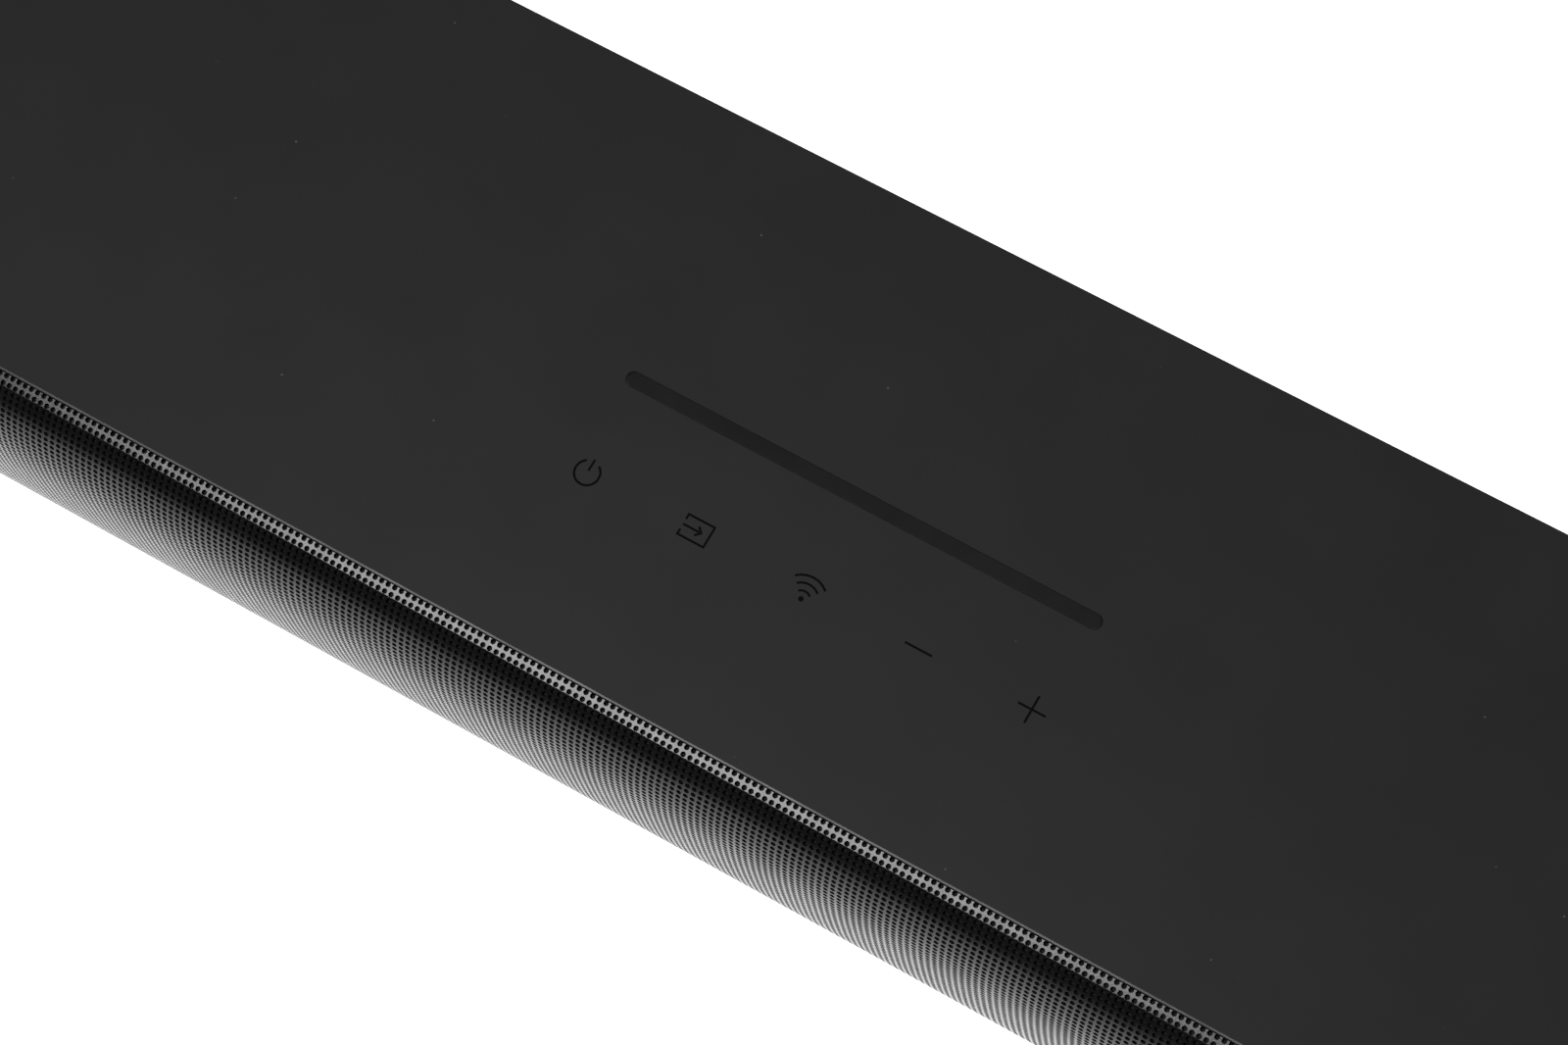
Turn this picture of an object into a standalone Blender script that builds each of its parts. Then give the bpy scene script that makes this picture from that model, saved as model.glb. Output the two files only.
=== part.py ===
"""A soundbar for a television: a long low cabinet with a flat touch panel on top, a perforated grille that
bulges forward, a ported chamber of drivers at each end, and the electronics between them.

X runs along the bar, -Y faces the listener and Z is up. The origin is on the surface that the feet stand on,
under the middle of the bar. All sizes are in metres.
"""

import math

import bmesh
import bpy
from mathutils import Vector

# Overall size
LENGTH = 0.930
HEIGHT = 0.064
PANEL_DEPTH = 0.1035
BULGE = 0.0098
DEPTH = PANEL_DEPTH + BULGE

# Controls on the top panel, measured back from its front edge
KEY_PITCH = 0.022
KEY_ROW_SETBACK = 0.0333
SLOT_SETBACK = 0.0519
SLOT_LENGTH = 0.0943
SLOT_WIDTH = 0.0029

# Cabinet
PLATE = 0.0024
BASE_Z = 0.0015
GAP = 0.0003
EDGE_CHAMFER = 0.0004
CORNER_RADIUS = 0.002
END_CAP = 0.004
DIVIDER_X = 0.150
DIVIDER_THICKNESS = 0.003

# Grille: a narrow land below the panel's front edge, a fold, then a flank that steepens to vertical
GRILLE_LIP = 0.0009
GRILLE_SHEET = 0.0007
GRILLE_LAND = 0.00214
LAND_SLOPE = math.radians(12)
FLANK_START = math.radians(32.4)
FLANK_ARC = 0.0319
FLANK_FADE = 0.00886
FLANK_STEPS = 12
BACKING = 0.0008

# Drivers
BAFFLE = 0.004
BAFFLE_SETBACK = 0.0065
WOOFER_XS = (-0.330, -0.220, 0.220, 0.330)
WOOFER_HOLE = 0.0243
TWEETER_XS = (-0.415, 0.415)
TWEETER_HOLE = 0.0141
PORT_XS = (-0.275, 0.275)
PORT_FLANGE = 0.020

# Connector bay in the rear cover
BAY = Vector((0.170, 0.018, 0.034))
BAY_WALL = 0.002
INLET_X = 0.060
HDMI_X = 0.030
OPTICAL_X = 0.006
USB_X = -0.020
BUTTON_X = -0.045
KEYHOLE_X = 0.200

# Fasteners and feet
POSTS = ((-0.448, 0.020), (-0.168, 0.036), (0.168, 0.036), (0.448, 0.020))
POST_RADIUS = 0.004
PILOT_RADIUS = 0.0018
PILOT_DEPTH = 0.012
SCREW_HEAD_SEAT = (0.0036, 0.0013)
FOOT = Vector((0.060, 0.012, 0.0022))
FOOT_X = 0.375
FOOT_YS = (-0.032, 0.044)
FOOT_RECESS = 0.0010

# Electronics and wiring
BOARD = 0.0016
BOARD_Z = 0.0100
BOARD_POST_RADIUS = 0.003
POWER_BOARD = Vector((0.110, 0.060))
POWER_CENTRE = Vector((-0.085, 0.000))
MAIN_BOARD = Vector((0.150, 0.060))
MAIN_CENTRE = Vector((0.060, 0.000))
LIGHT_GUIDE = Vector((SLOT_LENGTH + 0.004, 0.006, 0.004))
DISPLAY_BOARD = Vector((SLOT_LENGTH + 0.016, 0.016))
TOUCH_BOARD = Vector((5 * KEY_PITCH + 0.010, 0.018))
LEAD_Y = -0.020
LEAD_Z = 0.0075
LEAD_RADIUS = 0.0012
LEAD_HOLE = 0.0025
LEAD_STEP = 0.012

# Places that follow from the sizes above
BACK_Y = DEPTH / 2
EDGE_Y = BACK_Y - PANEL_DEPTH
MID_Z = (HEIGHT + BASE_Z) / 2
FLOOR_Z = BASE_Z + PLATE
CEILING_Z = HEIGHT - PLATE
PANEL_Y = (EDGE_Y + BACK_Y) / 2
KEY_Y = EDGE_Y + KEY_ROW_SETBACK
SLOT_Y = EDGE_Y + SLOT_SETBACK
BAFFLE_FRONT = EDGE_Y + BAFFLE_SETBACK
BAFFLE_BACK = BAFFLE_FRONT + BAFFLE
COVER_FRONT = BACK_Y - PLATE
INNER_LENGTH = LENGTH - 2 * (END_CAP + GAP)
INNER_HEIGHT = CEILING_Z - FLOOR_Z - 2 * GAP
BAY_FLOOR = BACK_Y - BAY.y
FOOT_PLACES = [(x, y) for x in (-FOOT_X, FOOT_X) for y in FOOT_YS]

FACE_FRONT = (math.pi / 2, 0, 0)
FACE_BACK = (-math.pi / 2, 0, 0)
ALONG_BAR = (math.pi / 2, 0, math.pi / 2)
THROUGH_X = (0, math.pi / 2, 0)
TURN_STEPS = 16
PORT_STEPS = 24


def board_corners(centre, size, inset=0.006):
    return [
        (centre.x + sx * (size.x / 2 - inset), centre.y + sy * (size.y / 2 - inset))
        for sx in (-1, 1)
        for sy in (-1, 1)
    ]


BOARD_POSTS = board_corners(POWER_CENTRE, POWER_BOARD) + board_corners(MAIN_CENTRE, MAIN_BOARD)


def clear_scene():
    for old in list(bpy.data.objects):
        bpy.data.objects.remove(old, do_unlink=True)


def collection(name):
    made = bpy.data.collections.new(name)
    bpy.context.scene.collection.children.link(made)
    return made


def material(name, colour, metallic, roughness):
    made = bpy.data.materials.new(name)
    made.use_nodes = True
    shader = made.node_tree.nodes["Principled BSDF"]
    shader.inputs["Base Color"].default_value = (*colour, 1)
    shader.inputs["Metallic"].default_value = metallic
    shader.inputs["Roughness"].default_value = roughness
    return made


clear_scene()
PARTS = collection("soundbar")
CUTTERS = collection("cutters")
PANEL_PLASTIC = material("panel_plastic", (0.028, 0.028, 0.029), 0.0, 0.5)
CASE_PLASTIC = material("case_plastic", (0.022, 0.022, 0.023), 0.0, 0.6)
SMOKED_LENS = material("smoked_lens", (0.010, 0.010, 0.011), 0.0, 0.25)
GRILLE_PAINT = material("grille_paint", (0.055, 0.055, 0.058), 0.6, 0.4)
BLACK_FLEECE = material("black_fleece", (0.008, 0.008, 0.008), 0.0, 0.95)
LIGHT_PIPE = material("light_pipe", (0.80, 0.80, 0.78), 0.0, 0.4)
BOARD_GREEN = material("board_green", (0.02, 0.10, 0.045), 0.0, 0.5)
STEEL = material("steel", (0.60, 0.60, 0.60), 1.0, 0.35)
FERRITE = material("ferrite", (0.06, 0.06, 0.065), 0.3, 0.6)
CONE_PAPER = material("cone_paper", (0.035, 0.035, 0.036), 0.0, 0.8)
RUBBER = material("rubber", (0.018, 0.018, 0.018), 0.0, 0.85)
DOME_SILK = material("dome_silk", (0.03, 0.03, 0.03), 0.0, 0.7)
ALUMINIUM = material("aluminium", (0.72, 0.72, 0.73), 1.0, 0.4)
TAPE_YELLOW = material("winding_tape", (0.70, 0.52, 0.10), 0.0, 0.5)
SLEEVE_BLACK = material("sleeve_black", (0.02, 0.02, 0.022), 0.0, 0.5)


def place(name, data, finish, location=(0, 0, 0), rotation=(0, 0, 0), cutter=False):
    """Puts mesh or curve data in the scene as a named part or, with no finish, as a cutter."""
    made = bpy.data.objects.new(name, data)
    made.location = location
    made.rotation_euler = rotation
    if finish and not data.materials:
        data.materials.append(finish)
    if cutter:
        made.hide_render = True
        made.display_type = "WIRE"
    (CUTTERS if cutter else PARTS).objects.link(made)
    return made


def box_mesh(name, size):
    mesh = bpy.data.meshes.new(name)
    shape = bmesh.new()
    bmesh.ops.create_cube(shape, size=1)
    bmesh.ops.scale(shape, vec=size, verts=shape.verts)
    shape.to_mesh(mesh)
    shape.free()
    return mesh


def drum_mesh(name, radius, length, steps=TURN_STEPS):
    mesh = bpy.data.meshes.new(name)
    shape = bmesh.new()
    bmesh.ops.create_cone(
        shape, cap_ends=True, segments=steps, radius1=radius, radius2=radius, depth=length
    )
    shape.to_mesh(mesh)
    shape.free()
    return mesh


def outline_mesh(name, outline, thickness):
    """A closed outline in its own XY plane, made a solid of this thickness along Z."""
    curve = bpy.data.curves.new(name, "CURVE")
    curve.dimensions = "2D"
    curve.fill_mode = "BOTH"
    curve.extrude = thickness / 2
    spline = curve.splines.new("POLY")
    spline.points.add(len(outline) - 1)
    for point, (x, y) in zip(spline.points, outline):
        point.co = (x, y, 0, 1)
    spline.use_cyclic_u = True
    guide = bpy.data.objects.new(name, curve)
    CUTTERS.objects.link(guide)
    graph = bpy.context.evaluated_depsgraph_get()
    mesh = bpy.data.meshes.new_from_object(guide.evaluated_get(graph))
    bpy.data.objects.remove(guide)
    bpy.data.curves.remove(curve)
    shape = bmesh.new()
    shape.from_mesh(mesh)
    bmesh.ops.remove_doubles(shape, verts=shape.verts, dist=1e-6)
    bmesh.ops.dissolve_limit(
        shape, angle_limit=math.radians(0.5), verts=shape.verts, edges=shape.edges
    )
    bmesh.ops.recalc_face_normals(shape, faces=shape.faces)
    shape.to_mesh(mesh)
    shape.free()
    mesh.name = name
    return mesh


def rounded_rectangle(length, width, radius, steps=6):
    """Outline of a rectangle with round corners; a radius of half the width gives round ends."""
    points = []
    for quarter in range(4):
        side_x = 1 if quarter in (0, 3) else -1
        side_y = 1 if quarter in (0, 1) else -1
        centre = Vector((side_x * (length / 2 - radius), side_y * (width / 2 - radius)))
        for step in range(steps + 1):
            angle = (quarter + step / steps) * math.pi / 2
            point = centre + radius * Vector((math.cos(angle), math.sin(angle)))
            if not points or (point - points[-1]).length > 1e-6:
                points.append(point)
    return points


def soften(part, angle=30):
    """Shades a round part smooth, with its edges over this angle left sharp."""
    part.data.shade_smooth()
    part.data.set_sharp_from_angle(angle=math.radians(angle))


def chamfer(part, width, segments=1):
    bevel = part.modifiers.new("chamfer", "BEVEL")
    bevel.width = width
    bevel.segments = segments
    bevel.limit_method = "ANGLE"
    bevel.angle_limit = math.radians(40)
    return part


def combine(part, other, operation):
    boolean = part.modifiers.new(other.name, "BOOLEAN")
    boolean.operation = operation
    boolean.solver = "EXACT"
    boolean.object = other


def cut_box(part, name, size, centre):
    combine(part, place(name, box_mesh(name, size), None, centre, cutter=True), "DIFFERENCE")


def cut_drum(part, name, radius, length, centre, rotation=(0, 0, 0), steps=TURN_STEPS):
    mesh = drum_mesh(name, radius, length, steps)
    drum = place(name, mesh, None, centre, rotation, cutter=True)
    combine(part, drum, "DIFFERENCE")


def cut_outline(part, name, outline, depth, centre, rotation=(0, 0, 0)):
    mesh = outline_mesh(name, outline, depth)
    combine(part, place(name, mesh, None, centre, rotation, cutter=True), "DIFFERENCE")


def add_drum(part, name, radius, length, centre, rotation=(0, 0, 0)):
    drum = place(name, drum_mesh(name, radius, length, 12), None, centre, rotation, cutter=True)
    combine(part, drum, "UNION")


def turned(name, profile, finish, location, rotation, steps=TURN_STEPS):
    """Turns (radius, height) points about the part's own Z. A profile runs down its outer side, top first;
    one that starts on the axis ends on it, and any other closes on itself."""
    count = len(profile)
    edges = [(number, number + 1) for number in range(count - 1)]
    if profile[0][0] > 0:
        edges.append((count - 1, 0))
    mesh = bpy.data.meshes.new(name)
    mesh.from_pydata([(radius, 0, height) for radius, height in profile], edges, [])
    part = place(name, mesh, finish, location, rotation)
    screw = part.modifiers.new("turn", "SCREW")
    screw.steps = steps
    screw.render_steps = steps
    screw.use_merge_vertices = True
    screw.merge_threshold = 0.00001
    screw.use_smooth_shade = True
    return part


def box(name, size, centre, finish):
    return place(name, box_mesh(name, size), finish, centre)


def flank_slope(arc):
    """How steeply the grille's flank falls at this distance along it from the fold."""
    last = math.exp(-FLANK_ARC / FLANK_FADE)
    fade = (math.exp(-arc / FLANK_FADE) - last) / (1 - last)
    return math.pi / 2 - (math.pi / 2 - FLANK_START) * fade


def half_section():
    """(forward, down, slope) along the upper half of the grille's outer face, from the panel's edge."""
    points = [(GAP, GAP * math.tan(LAND_SLOPE), LAND_SLOPE)]
    forward, down = GRILLE_LAND, GRILLE_LAND * math.tan(LAND_SLOPE)
    points.append((forward, down, (LAND_SLOPE + FLANK_START) / 2))
    step = FLANK_ARC / FLANK_STEPS
    for number in range(FLANK_STEPS):
        slope = flank_slope((number + 0.5) * step)
        forward += step * math.cos(slope)
        down += step * math.sin(slope)
        points.append((forward, down, flank_slope((number + 1) * step)))
    widen = BULGE / forward
    stretch = (HEIGHT - GRILLE_LIP - MID_Z) / down
    return [(x * widen, z * stretch, slope) for x, z, slope in points]


def grille_line(inset):
    """(y, z) points down the grille, set in from its outer face by this much."""
    upper = [
        (
            EDGE_Y - forward + inset * math.sin(slope),
            HEIGHT - GRILLE_LIP - down - inset * math.cos(slope),
        )
        for forward, down, slope in half_section()
    ]
    lower = [(y, 2 * MID_Z - z) for y, z in reversed(upper[:-1])]
    return upper + lower


def grille_layer(name, outer, thickness, finish):
    """A curved sheet the length of the cabinet that follows the grille's section."""
    outline = grille_line(outer) + grille_line(outer + thickness)[::-1]
    mesh = outline_mesh(name, outline, INNER_LENGTH)
    part = place(name, mesh, finish, (0, 0, 0), ALONG_BAR)
    soften(part)
    return part


def make_top_panel():
    mesh = outline_mesh(
        "top_panel", rounded_rectangle(LENGTH, PANEL_DEPTH, CORNER_RADIUS), PLATE
    )
    part = place("top_panel", mesh, PANEL_PLASTIC, (0, PANEL_Y, HEIGHT - PLATE / 2))
    chamfer(part, EDGE_CHAMFER)
    slot = rounded_rectangle(SLOT_LENGTH, SLOT_WIDTH, SLOT_WIDTH / 2)
    cut_outline(part, "slot_cut", slot, 4 * PLATE, (0, SLOT_Y, HEIGHT))
    post_bottom = FLOOR_Z + GAP
    post_top = HEIGHT - PLATE / 2
    for number, (x, y) in enumerate(POSTS, 1):
        middle = (x, y, (post_bottom + post_top) / 2)
        add_drum(part, f"post_{number}", POST_RADIUS, post_top - post_bottom, middle)
        cut_drum(part, f"pilot_hole_{number}", PILOT_RADIUS, 2 * PILOT_DEPTH, (x, y, post_bottom))


def make_display():
    lens_play = 0.0002
    mesh = outline_mesh(
        "display_lens",
        rounded_rectangle(
            SLOT_LENGTH - 2 * lens_play, SLOT_WIDTH - 2 * lens_play, SLOT_WIDTH / 2 - lens_play
        ),
        PLATE,
    )
    place("display_lens", mesh, SMOKED_LENS, (0, SLOT_Y, HEIGHT - PLATE / 2 - 0.00005))
    guide_z = CEILING_Z - GAP - LIGHT_GUIDE.z / 2
    box("light_guide", LIGHT_GUIDE, (0, SLOT_Y, guide_z), LIGHT_PIPE)
    board_z = CEILING_Z - 2 * GAP - LIGHT_GUIDE.z - BOARD / 2
    box("display_board", (*DISPLAY_BOARD, BOARD), (0, SLOT_Y, board_z), BOARD_GREEN)
    touch_z = CEILING_Z - GAP - BOARD / 2
    box("touch_board", (*TOUCH_BOARD, BOARD), (0, KEY_Y, touch_z), BOARD_GREEN)


def make_grille():
    grille_layer("front_grille", 0, GRILLE_SHEET, GRILLE_PAINT)
    grille_layer("grille_backing", GRILLE_SHEET + GAP, BACKING, BLACK_FLEECE)


def make_baffle():
    size = (INNER_LENGTH, BAFFLE, INNER_HEIGHT)
    middle_y = (BAFFLE_FRONT + BAFFLE_BACK) / 2
    part = box("front_baffle", size, (0, middle_y, MID_Z), CASE_PLASTIC)
    holes = [(x, WOOFER_HOLE) for x in WOOFER_XS] + [(x, TWEETER_HOLE) for x in TWEETER_XS]
    for number, (x, radius) in enumerate(holes, 1):
        centre = (x, middle_y, MID_Z)
        cut_drum(part, f"driver_hole_{number}", radius, 4 * BAFFLE, centre, FACE_FRONT)


def make_tray():
    mesh = outline_mesh(
        "bottom_tray", rounded_rectangle(LENGTH, PANEL_DEPTH, CORNER_RADIUS), PLATE
    )
    part = place("bottom_tray", mesh, CASE_PLASTIC, (0, PANEL_Y, BASE_Z + PLATE / 2))
    chamfer(part, EDGE_CHAMFER)
    for number, (x, y) in enumerate(FOOT_PLACES, 1):
        recess = rounded_rectangle(FOOT.x + 2 * GAP, FOOT.y + 2 * GAP, FOOT.y / 2 + GAP)
        cut_outline(part, f"foot_recess_{number}", recess, 2 * FOOT_RECESS, (x, y, BASE_Z))
    seat_radius, seat_depth = SCREW_HEAD_SEAT
    for number, (x, y) in enumerate(POSTS, 1):
        cut_drum(part, f"screw_hole_{number}", PILOT_RADIUS, 4 * PLATE, (x, y, BASE_Z))
        cut_drum(part, f"screw_seat_{number}", seat_radius, 2 * seat_depth, (x, y, BASE_Z))
    bottom = FLOOR_Z - PLATE / 2
    top = BOARD_Z - GAP
    for number, (x, y) in enumerate(BOARD_POSTS, 1):
        centre = (x, y, (top + bottom) / 2)
        add_drum(part, f"board_post_{number}", BOARD_POST_RADIUS, top - bottom, centre)


def make_rear_cover():
    size = (INNER_LENGTH, PLATE, INNER_HEIGHT)
    middle_y = (COVER_FRONT + BACK_Y) / 2
    part = box("rear_cover", size, (0, middle_y, MID_Z), CASE_PLASTIC)
    cut_box(part, "bay_opening", (BAY.x, 4 * PLATE, BAY.z), (0, middle_y, MID_Z))
    for number, x in enumerate(PORT_XS, 1):
        centre = (x, middle_y, MID_Z)
        radius = PORT_FLANGE + GAP
        cut_drum(part, f"port_hole_{number}", radius, 4 * PLATE, centre, FACE_FRONT, PORT_STEPS)
    for side, x in (("left", -KEYHOLE_X), ("right", KEYHOLE_X)):
        entry = (x, middle_y, MID_Z)
        cut_drum(part, f"keyhole_entry_{side}", 0.005, 4 * PLATE, entry, FACE_FRONT)
        slot = rounded_rectangle(0.0050, 0.0140, 0.0025)
        raised = (x, middle_y, MID_Z + 0.0045)
        cut_outline(part, f"keyhole_slot_{side}", slot, 4 * PLATE, raised, FACE_FRONT)


def make_end_caps():
    rear = [(BACK_Y, FLOOR_Z + GAP), (BACK_Y, CEILING_Z - GAP), (EDGE_Y - GAP, CEILING_Z - GAP)]
    front = grille_line(0)
    outline = rear + front + [(EDGE_Y - GAP, FLOOR_Z + GAP)]
    mesh = outline_mesh("end_cap", outline, END_CAP)
    middle_x = (LENGTH - END_CAP) / 2
    for side, x in (("left", -middle_x), ("right", middle_x)):
        cap = place(f"end_cap_{side}", mesh, CASE_PLASTIC, (x, 0, 0), ALONG_BAR)
        chamfer(cap, EDGE_CHAMFER)


def make_dividers():
    front = BAFFLE_BACK + GAP
    back = COVER_FRONT - GAP
    size = (DIVIDER_THICKNESS, back - front, INNER_HEIGHT)
    for side, sign in (("left", -1), ("right", 1)):
        centre = (sign * DIVIDER_X, (front + back) / 2, MID_Z)
        part = box(f"divider_{side}", size, centre, CASE_PLASTIC)
        hole = (sign * DIVIDER_X, LEAD_Y, LEAD_Z)
        depth = 4 * DIVIDER_THICKNESS
        cut_drum(part, f"lead_hole_{side}", LEAD_HOLE, depth, hole, THROUGH_X)


def roll_profile(centre, radius, thickness, height, steps=4):
    """Section of a driver's half-roll surround, outer side first."""
    outer, inner = [], []
    for step in range(steps + 1):
        angle = math.pi * (1 - step / steps)
        turn = Vector((math.cos(angle), math.sin(angle)))
        outer.append((centre + radius * turn.x, height + radius * turn.y))
        inner.append(
            (centre + (radius - thickness) * turn.x, height + (radius - thickness) * turn.y)
        )
    return outer + inner[::-1]


BASKET = (
    (0.0270, 0.0018),
    (0.0270, 0.0003),
    (0.0236, 0.0003),
    (0.0226, -0.0050),
    (0.0185, -0.0126),
    (0.0095, -0.0126),
    (0.0095, -0.0114),
    (0.0176, -0.0114),
    (0.0216, -0.0050),
    (0.0222, 0.0018),
)
MAGNET = (
    (0, -0.0129),
    (0.0062, -0.0129),
    (0.0062, -0.0220),
    (0.0084, -0.0220),
    (0.0084, -0.0129),
    (0.0170, -0.0129),
    (0.0170, -0.0250),
    (0, -0.0250),
)
CONE = (
    (0, -0.0030),
    (0.0040, -0.0037),
    (0.0070, -0.0055),
    (0.0174, 0.0009),
    (0.0178, 0.0009),
    (0.0178, 0.0003),
    (0.0076, -0.0062),
    (0.0076, -0.0170),
    (0.0070, -0.0170),
    (0.0070, -0.0064),
    (0.0040, -0.0046),
    (0, -0.0038),
)
TWEETER_CUP = (
    (0, -0.0080),
    (0.0102, -0.0080),
    (0.0102, 0.0018),
    (0.0170, 0.0018),
    (0.0170, 0.0003),
    (0.0138, 0.0003),
    (0.0138, -0.0120),
    (0, -0.0120),
)
DOME = (
    (0, 0.0028),
    (0.0035, 0.0023),
    (0.0065, 0.0010),
    (0.0088, -0.0006),
    (0.0097, -0.0006),
    (0.0097, -0.0012),
    (0.0090, -0.0012),
    (0.0090, -0.0045),
    (0.0085, -0.0045),
    (0.0085, -0.0014),
    (0.0062, 0.0004),
    (0.0034, 0.0017),
    (0, 0.0022),
)
PORT = (
    (0.0200, 0.0000),
    (0.0200, -0.0022),
    (0.0160, -0.0050),
    (0.0137, -0.0090),
    (0.0135, -0.0600),
    (0.0120, -0.0600),
    (0.0122, -0.0090),
    (0.0140, -0.0040),
    (0.0160, -0.0012),
    (0.0185, 0.0000),
)


def make_drivers():
    surround = roll_profile(0.0200, 0.0019, 0.0004, 0.0004)
    for number, x in enumerate(WOOFER_XS, 1):
        centre = (x, BAFFLE_FRONT, MID_Z)
        turned(f"woofer_{number}_basket", BASKET, STEEL, centre, FACE_FRONT)
        turned(f"woofer_{number}_magnet", MAGNET, FERRITE, centre, FACE_FRONT)
        turned(f"woofer_{number}_surround", surround, RUBBER, centre, FACE_FRONT)
        turned(f"woofer_{number}_cone", CONE, CONE_PAPER, centre, FACE_FRONT)
    for number, x in enumerate(TWEETER_XS, 1):
        centre = (x, BAFFLE_FRONT, MID_Z)
        turned(f"tweeter_{number}_body", TWEETER_CUP, CASE_PLASTIC, centre, FACE_FRONT)
        turned(f"tweeter_{number}_dome", DOME, DOME_SILK, centre, FACE_FRONT)


def make_ports():
    for side, x in zip(("left", "right"), PORT_XS):
        mouth = (x, BACK_Y, MID_Z)
        turned(f"port_tube_{side}", PORT, CASE_PLASTIC, mouth, FACE_BACK, PORT_STEPS)


def make_bay():
    """The tub behind the rear cover that the sockets face out of."""
    back = COVER_FRONT - GAP
    front = BAY_FLOOR - BAY_WALL
    outside = (BAY.x + 2 * BAY_WALL, back - front, BAY.z + 2 * BAY_WALL)
    part = box("connector_bay", outside, (0, (front + back) / 2, MID_Z), CASE_PLASTIC)
    cut_box(part, "bay_room", BAY, (0, BAY_FLOOR + BAY.y / 2, MID_Z))
    wall_y = BAY_FLOOR - BAY_WALL / 2
    windows = (
        ("inlet", INLET_X, 0.0246, 0.0186),
        ("hdmi", HDMI_X, 0.0160, 0.0066),
        ("optical", OPTICAL_X, 0.0106, 0.0106),
        ("usb", USB_X, 0.0138, 0.0064),
    )
    for name, x, width, height in windows:
        cut_box(part, f"{name}_window", (width, 4 * BAY_WALL, height), (x, wall_y, MID_Z))
    button = (BUTTON_X, wall_y, MID_Z)
    cut_drum(part, "button_hole", 0.0022, 4 * BAY_WALL, button, FACE_FRONT)


def socket_shell(name, x, mouth, wall, depth, finish):
    """A socket that is open to the rear and flush with the floor of the bay."""
    outside = (mouth[0] + 2 * wall, depth + wall, mouth[1] + 2 * wall)
    centre_y = BAY_FLOOR - outside[1] / 2
    part = box(name, outside, (x, centre_y, MID_Z), finish)
    room = (mouth[0], 2 * depth, mouth[1])
    cut_box(part, f"{name}_mouth", room, (x, BAY_FLOOR, MID_Z))
    return part


def make_sockets():
    depth = 0.022
    inlet = box(
        "mains_inlet", (0.024, depth, 0.018), (INLET_X, BAY_FLOOR - depth / 2, MID_Z), SLEEVE_BLACK
    )
    mouth = rounded_rectangle(0.0160, 0.0088, 0.0044)
    mouth_depth = 0.014
    cut_outline(
        inlet, "inlet_mouth", mouth, 2 * mouth_depth, (INLET_X, BAY_FLOOR, MID_Z), FACE_FRONT
    )
    for name, side in (("a", -1), ("b", 1)):
        centre = (INLET_X + side * 0.0043, BAY_FLOOR - mouth_depth / 2 - 0.002, MID_Z)
        add_drum(inlet, f"inlet_pin_{name}", 0.0012, mouth_depth, centre, FACE_FRONT)
    socket_shell("hdmi_socket", HDMI_X, (0.0144, 0.0050), 0.0005, 0.0110, STEEL)
    socket_shell("optical_socket", OPTICAL_X, (0.0064, 0.0064), 0.0018, 0.0120, SLEEVE_BLACK)
    socket_shell("usb_socket", USB_X, (0.0125, 0.0051), 0.0004, 0.0140, STEEL)


def make_shutter():
    """The spring flap in the optical socket's mouth, hung from its upper edge."""
    flap = Vector((0.0058, 0.0007, 0.0056))
    mesh = box_mesh("optical_shutter", flap)
    drop = Vector((0, 0, -flap.z / 2 + 0.0004))
    for corner in mesh.vertices:
        corner.co += drop
    hinge = (OPTICAL_X, BAY_FLOOR - 0.0012, MID_Z + 0.0025)
    place("optical_shutter", mesh, SLEEVE_BLACK, hinge)


def make_button():
    """The service button and the switch that it presses."""
    profile = (
        (0, 0.0006),
        (0.0016, 0.0006),
        (0.0018, 0.0004),
        (0.0018, -0.0024),
        (0.0028, -0.0024),
        (0.0028, -0.0034),
        (0, -0.0034),
    )
    centre = (BUTTON_X, BAY_FLOOR, MID_Z)
    turned("service_button", profile, RUBBER, centre, FACE_BACK)
    switch = 0.004
    box(
        "service_switch",
        (0.006, switch, 0.006),
        (BUTTON_X, BAY_FLOOR - 0.0034 - 0.0011 - switch / 2, MID_Z),
        SLEEVE_BLACK,
    )


def make_electronics():
    top = BOARD_Z + BOARD + GAP
    for name, centre, size in (
        ("power_board", POWER_CENTRE, POWER_BOARD),
        ("main_board", MAIN_CENTRE, MAIN_BOARD),
    ):
        box(name, (size.x, size.y, BOARD), (centre.x, centre.y, BOARD_Z + BOARD / 2), BOARD_GREEN)
    coil = Vector((0.032, 0.028, 0.026))
    box("transformer", coil, (-0.085, 0.004, top + coil.z / 2), TAPE_YELLOW)
    can = place(
        "capacitor", drum_mesh("capacitor", 0.009, 0.026), SLEEVE_BLACK, (-0.120, -0.010, top + 0.013)
    )
    soften(can)
    chip = Vector((0.026, 0.018, 0.0030))
    box("wireless_module", chip, (0.115, 0.014, top + chip.z / 2), STEEL)
    make_heatsink(top)


def make_heatsink(bottom):
    """A comb of upright fins on a common foot."""
    width, foot, height, fins = 0.044, 0.004, 0.020, 7
    pitch = width / (fins - 0.5)
    fin = pitch / 2
    outline = [(-width / 2, 0), (width / 2, 0)]
    for number in range(fins):
        right = width / 2 - number * pitch
        outline += [(right, height), (right - fin, height)]
        if number < fins - 1:
            outline += [(right - fin, foot), (right - pitch, foot)]
    mesh = outline_mesh("heatsink", outline, 0.034)
    place("heatsink", mesh, ALUMINIUM, (0.045, -0.002, bottom), FACE_FRONT)


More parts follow.
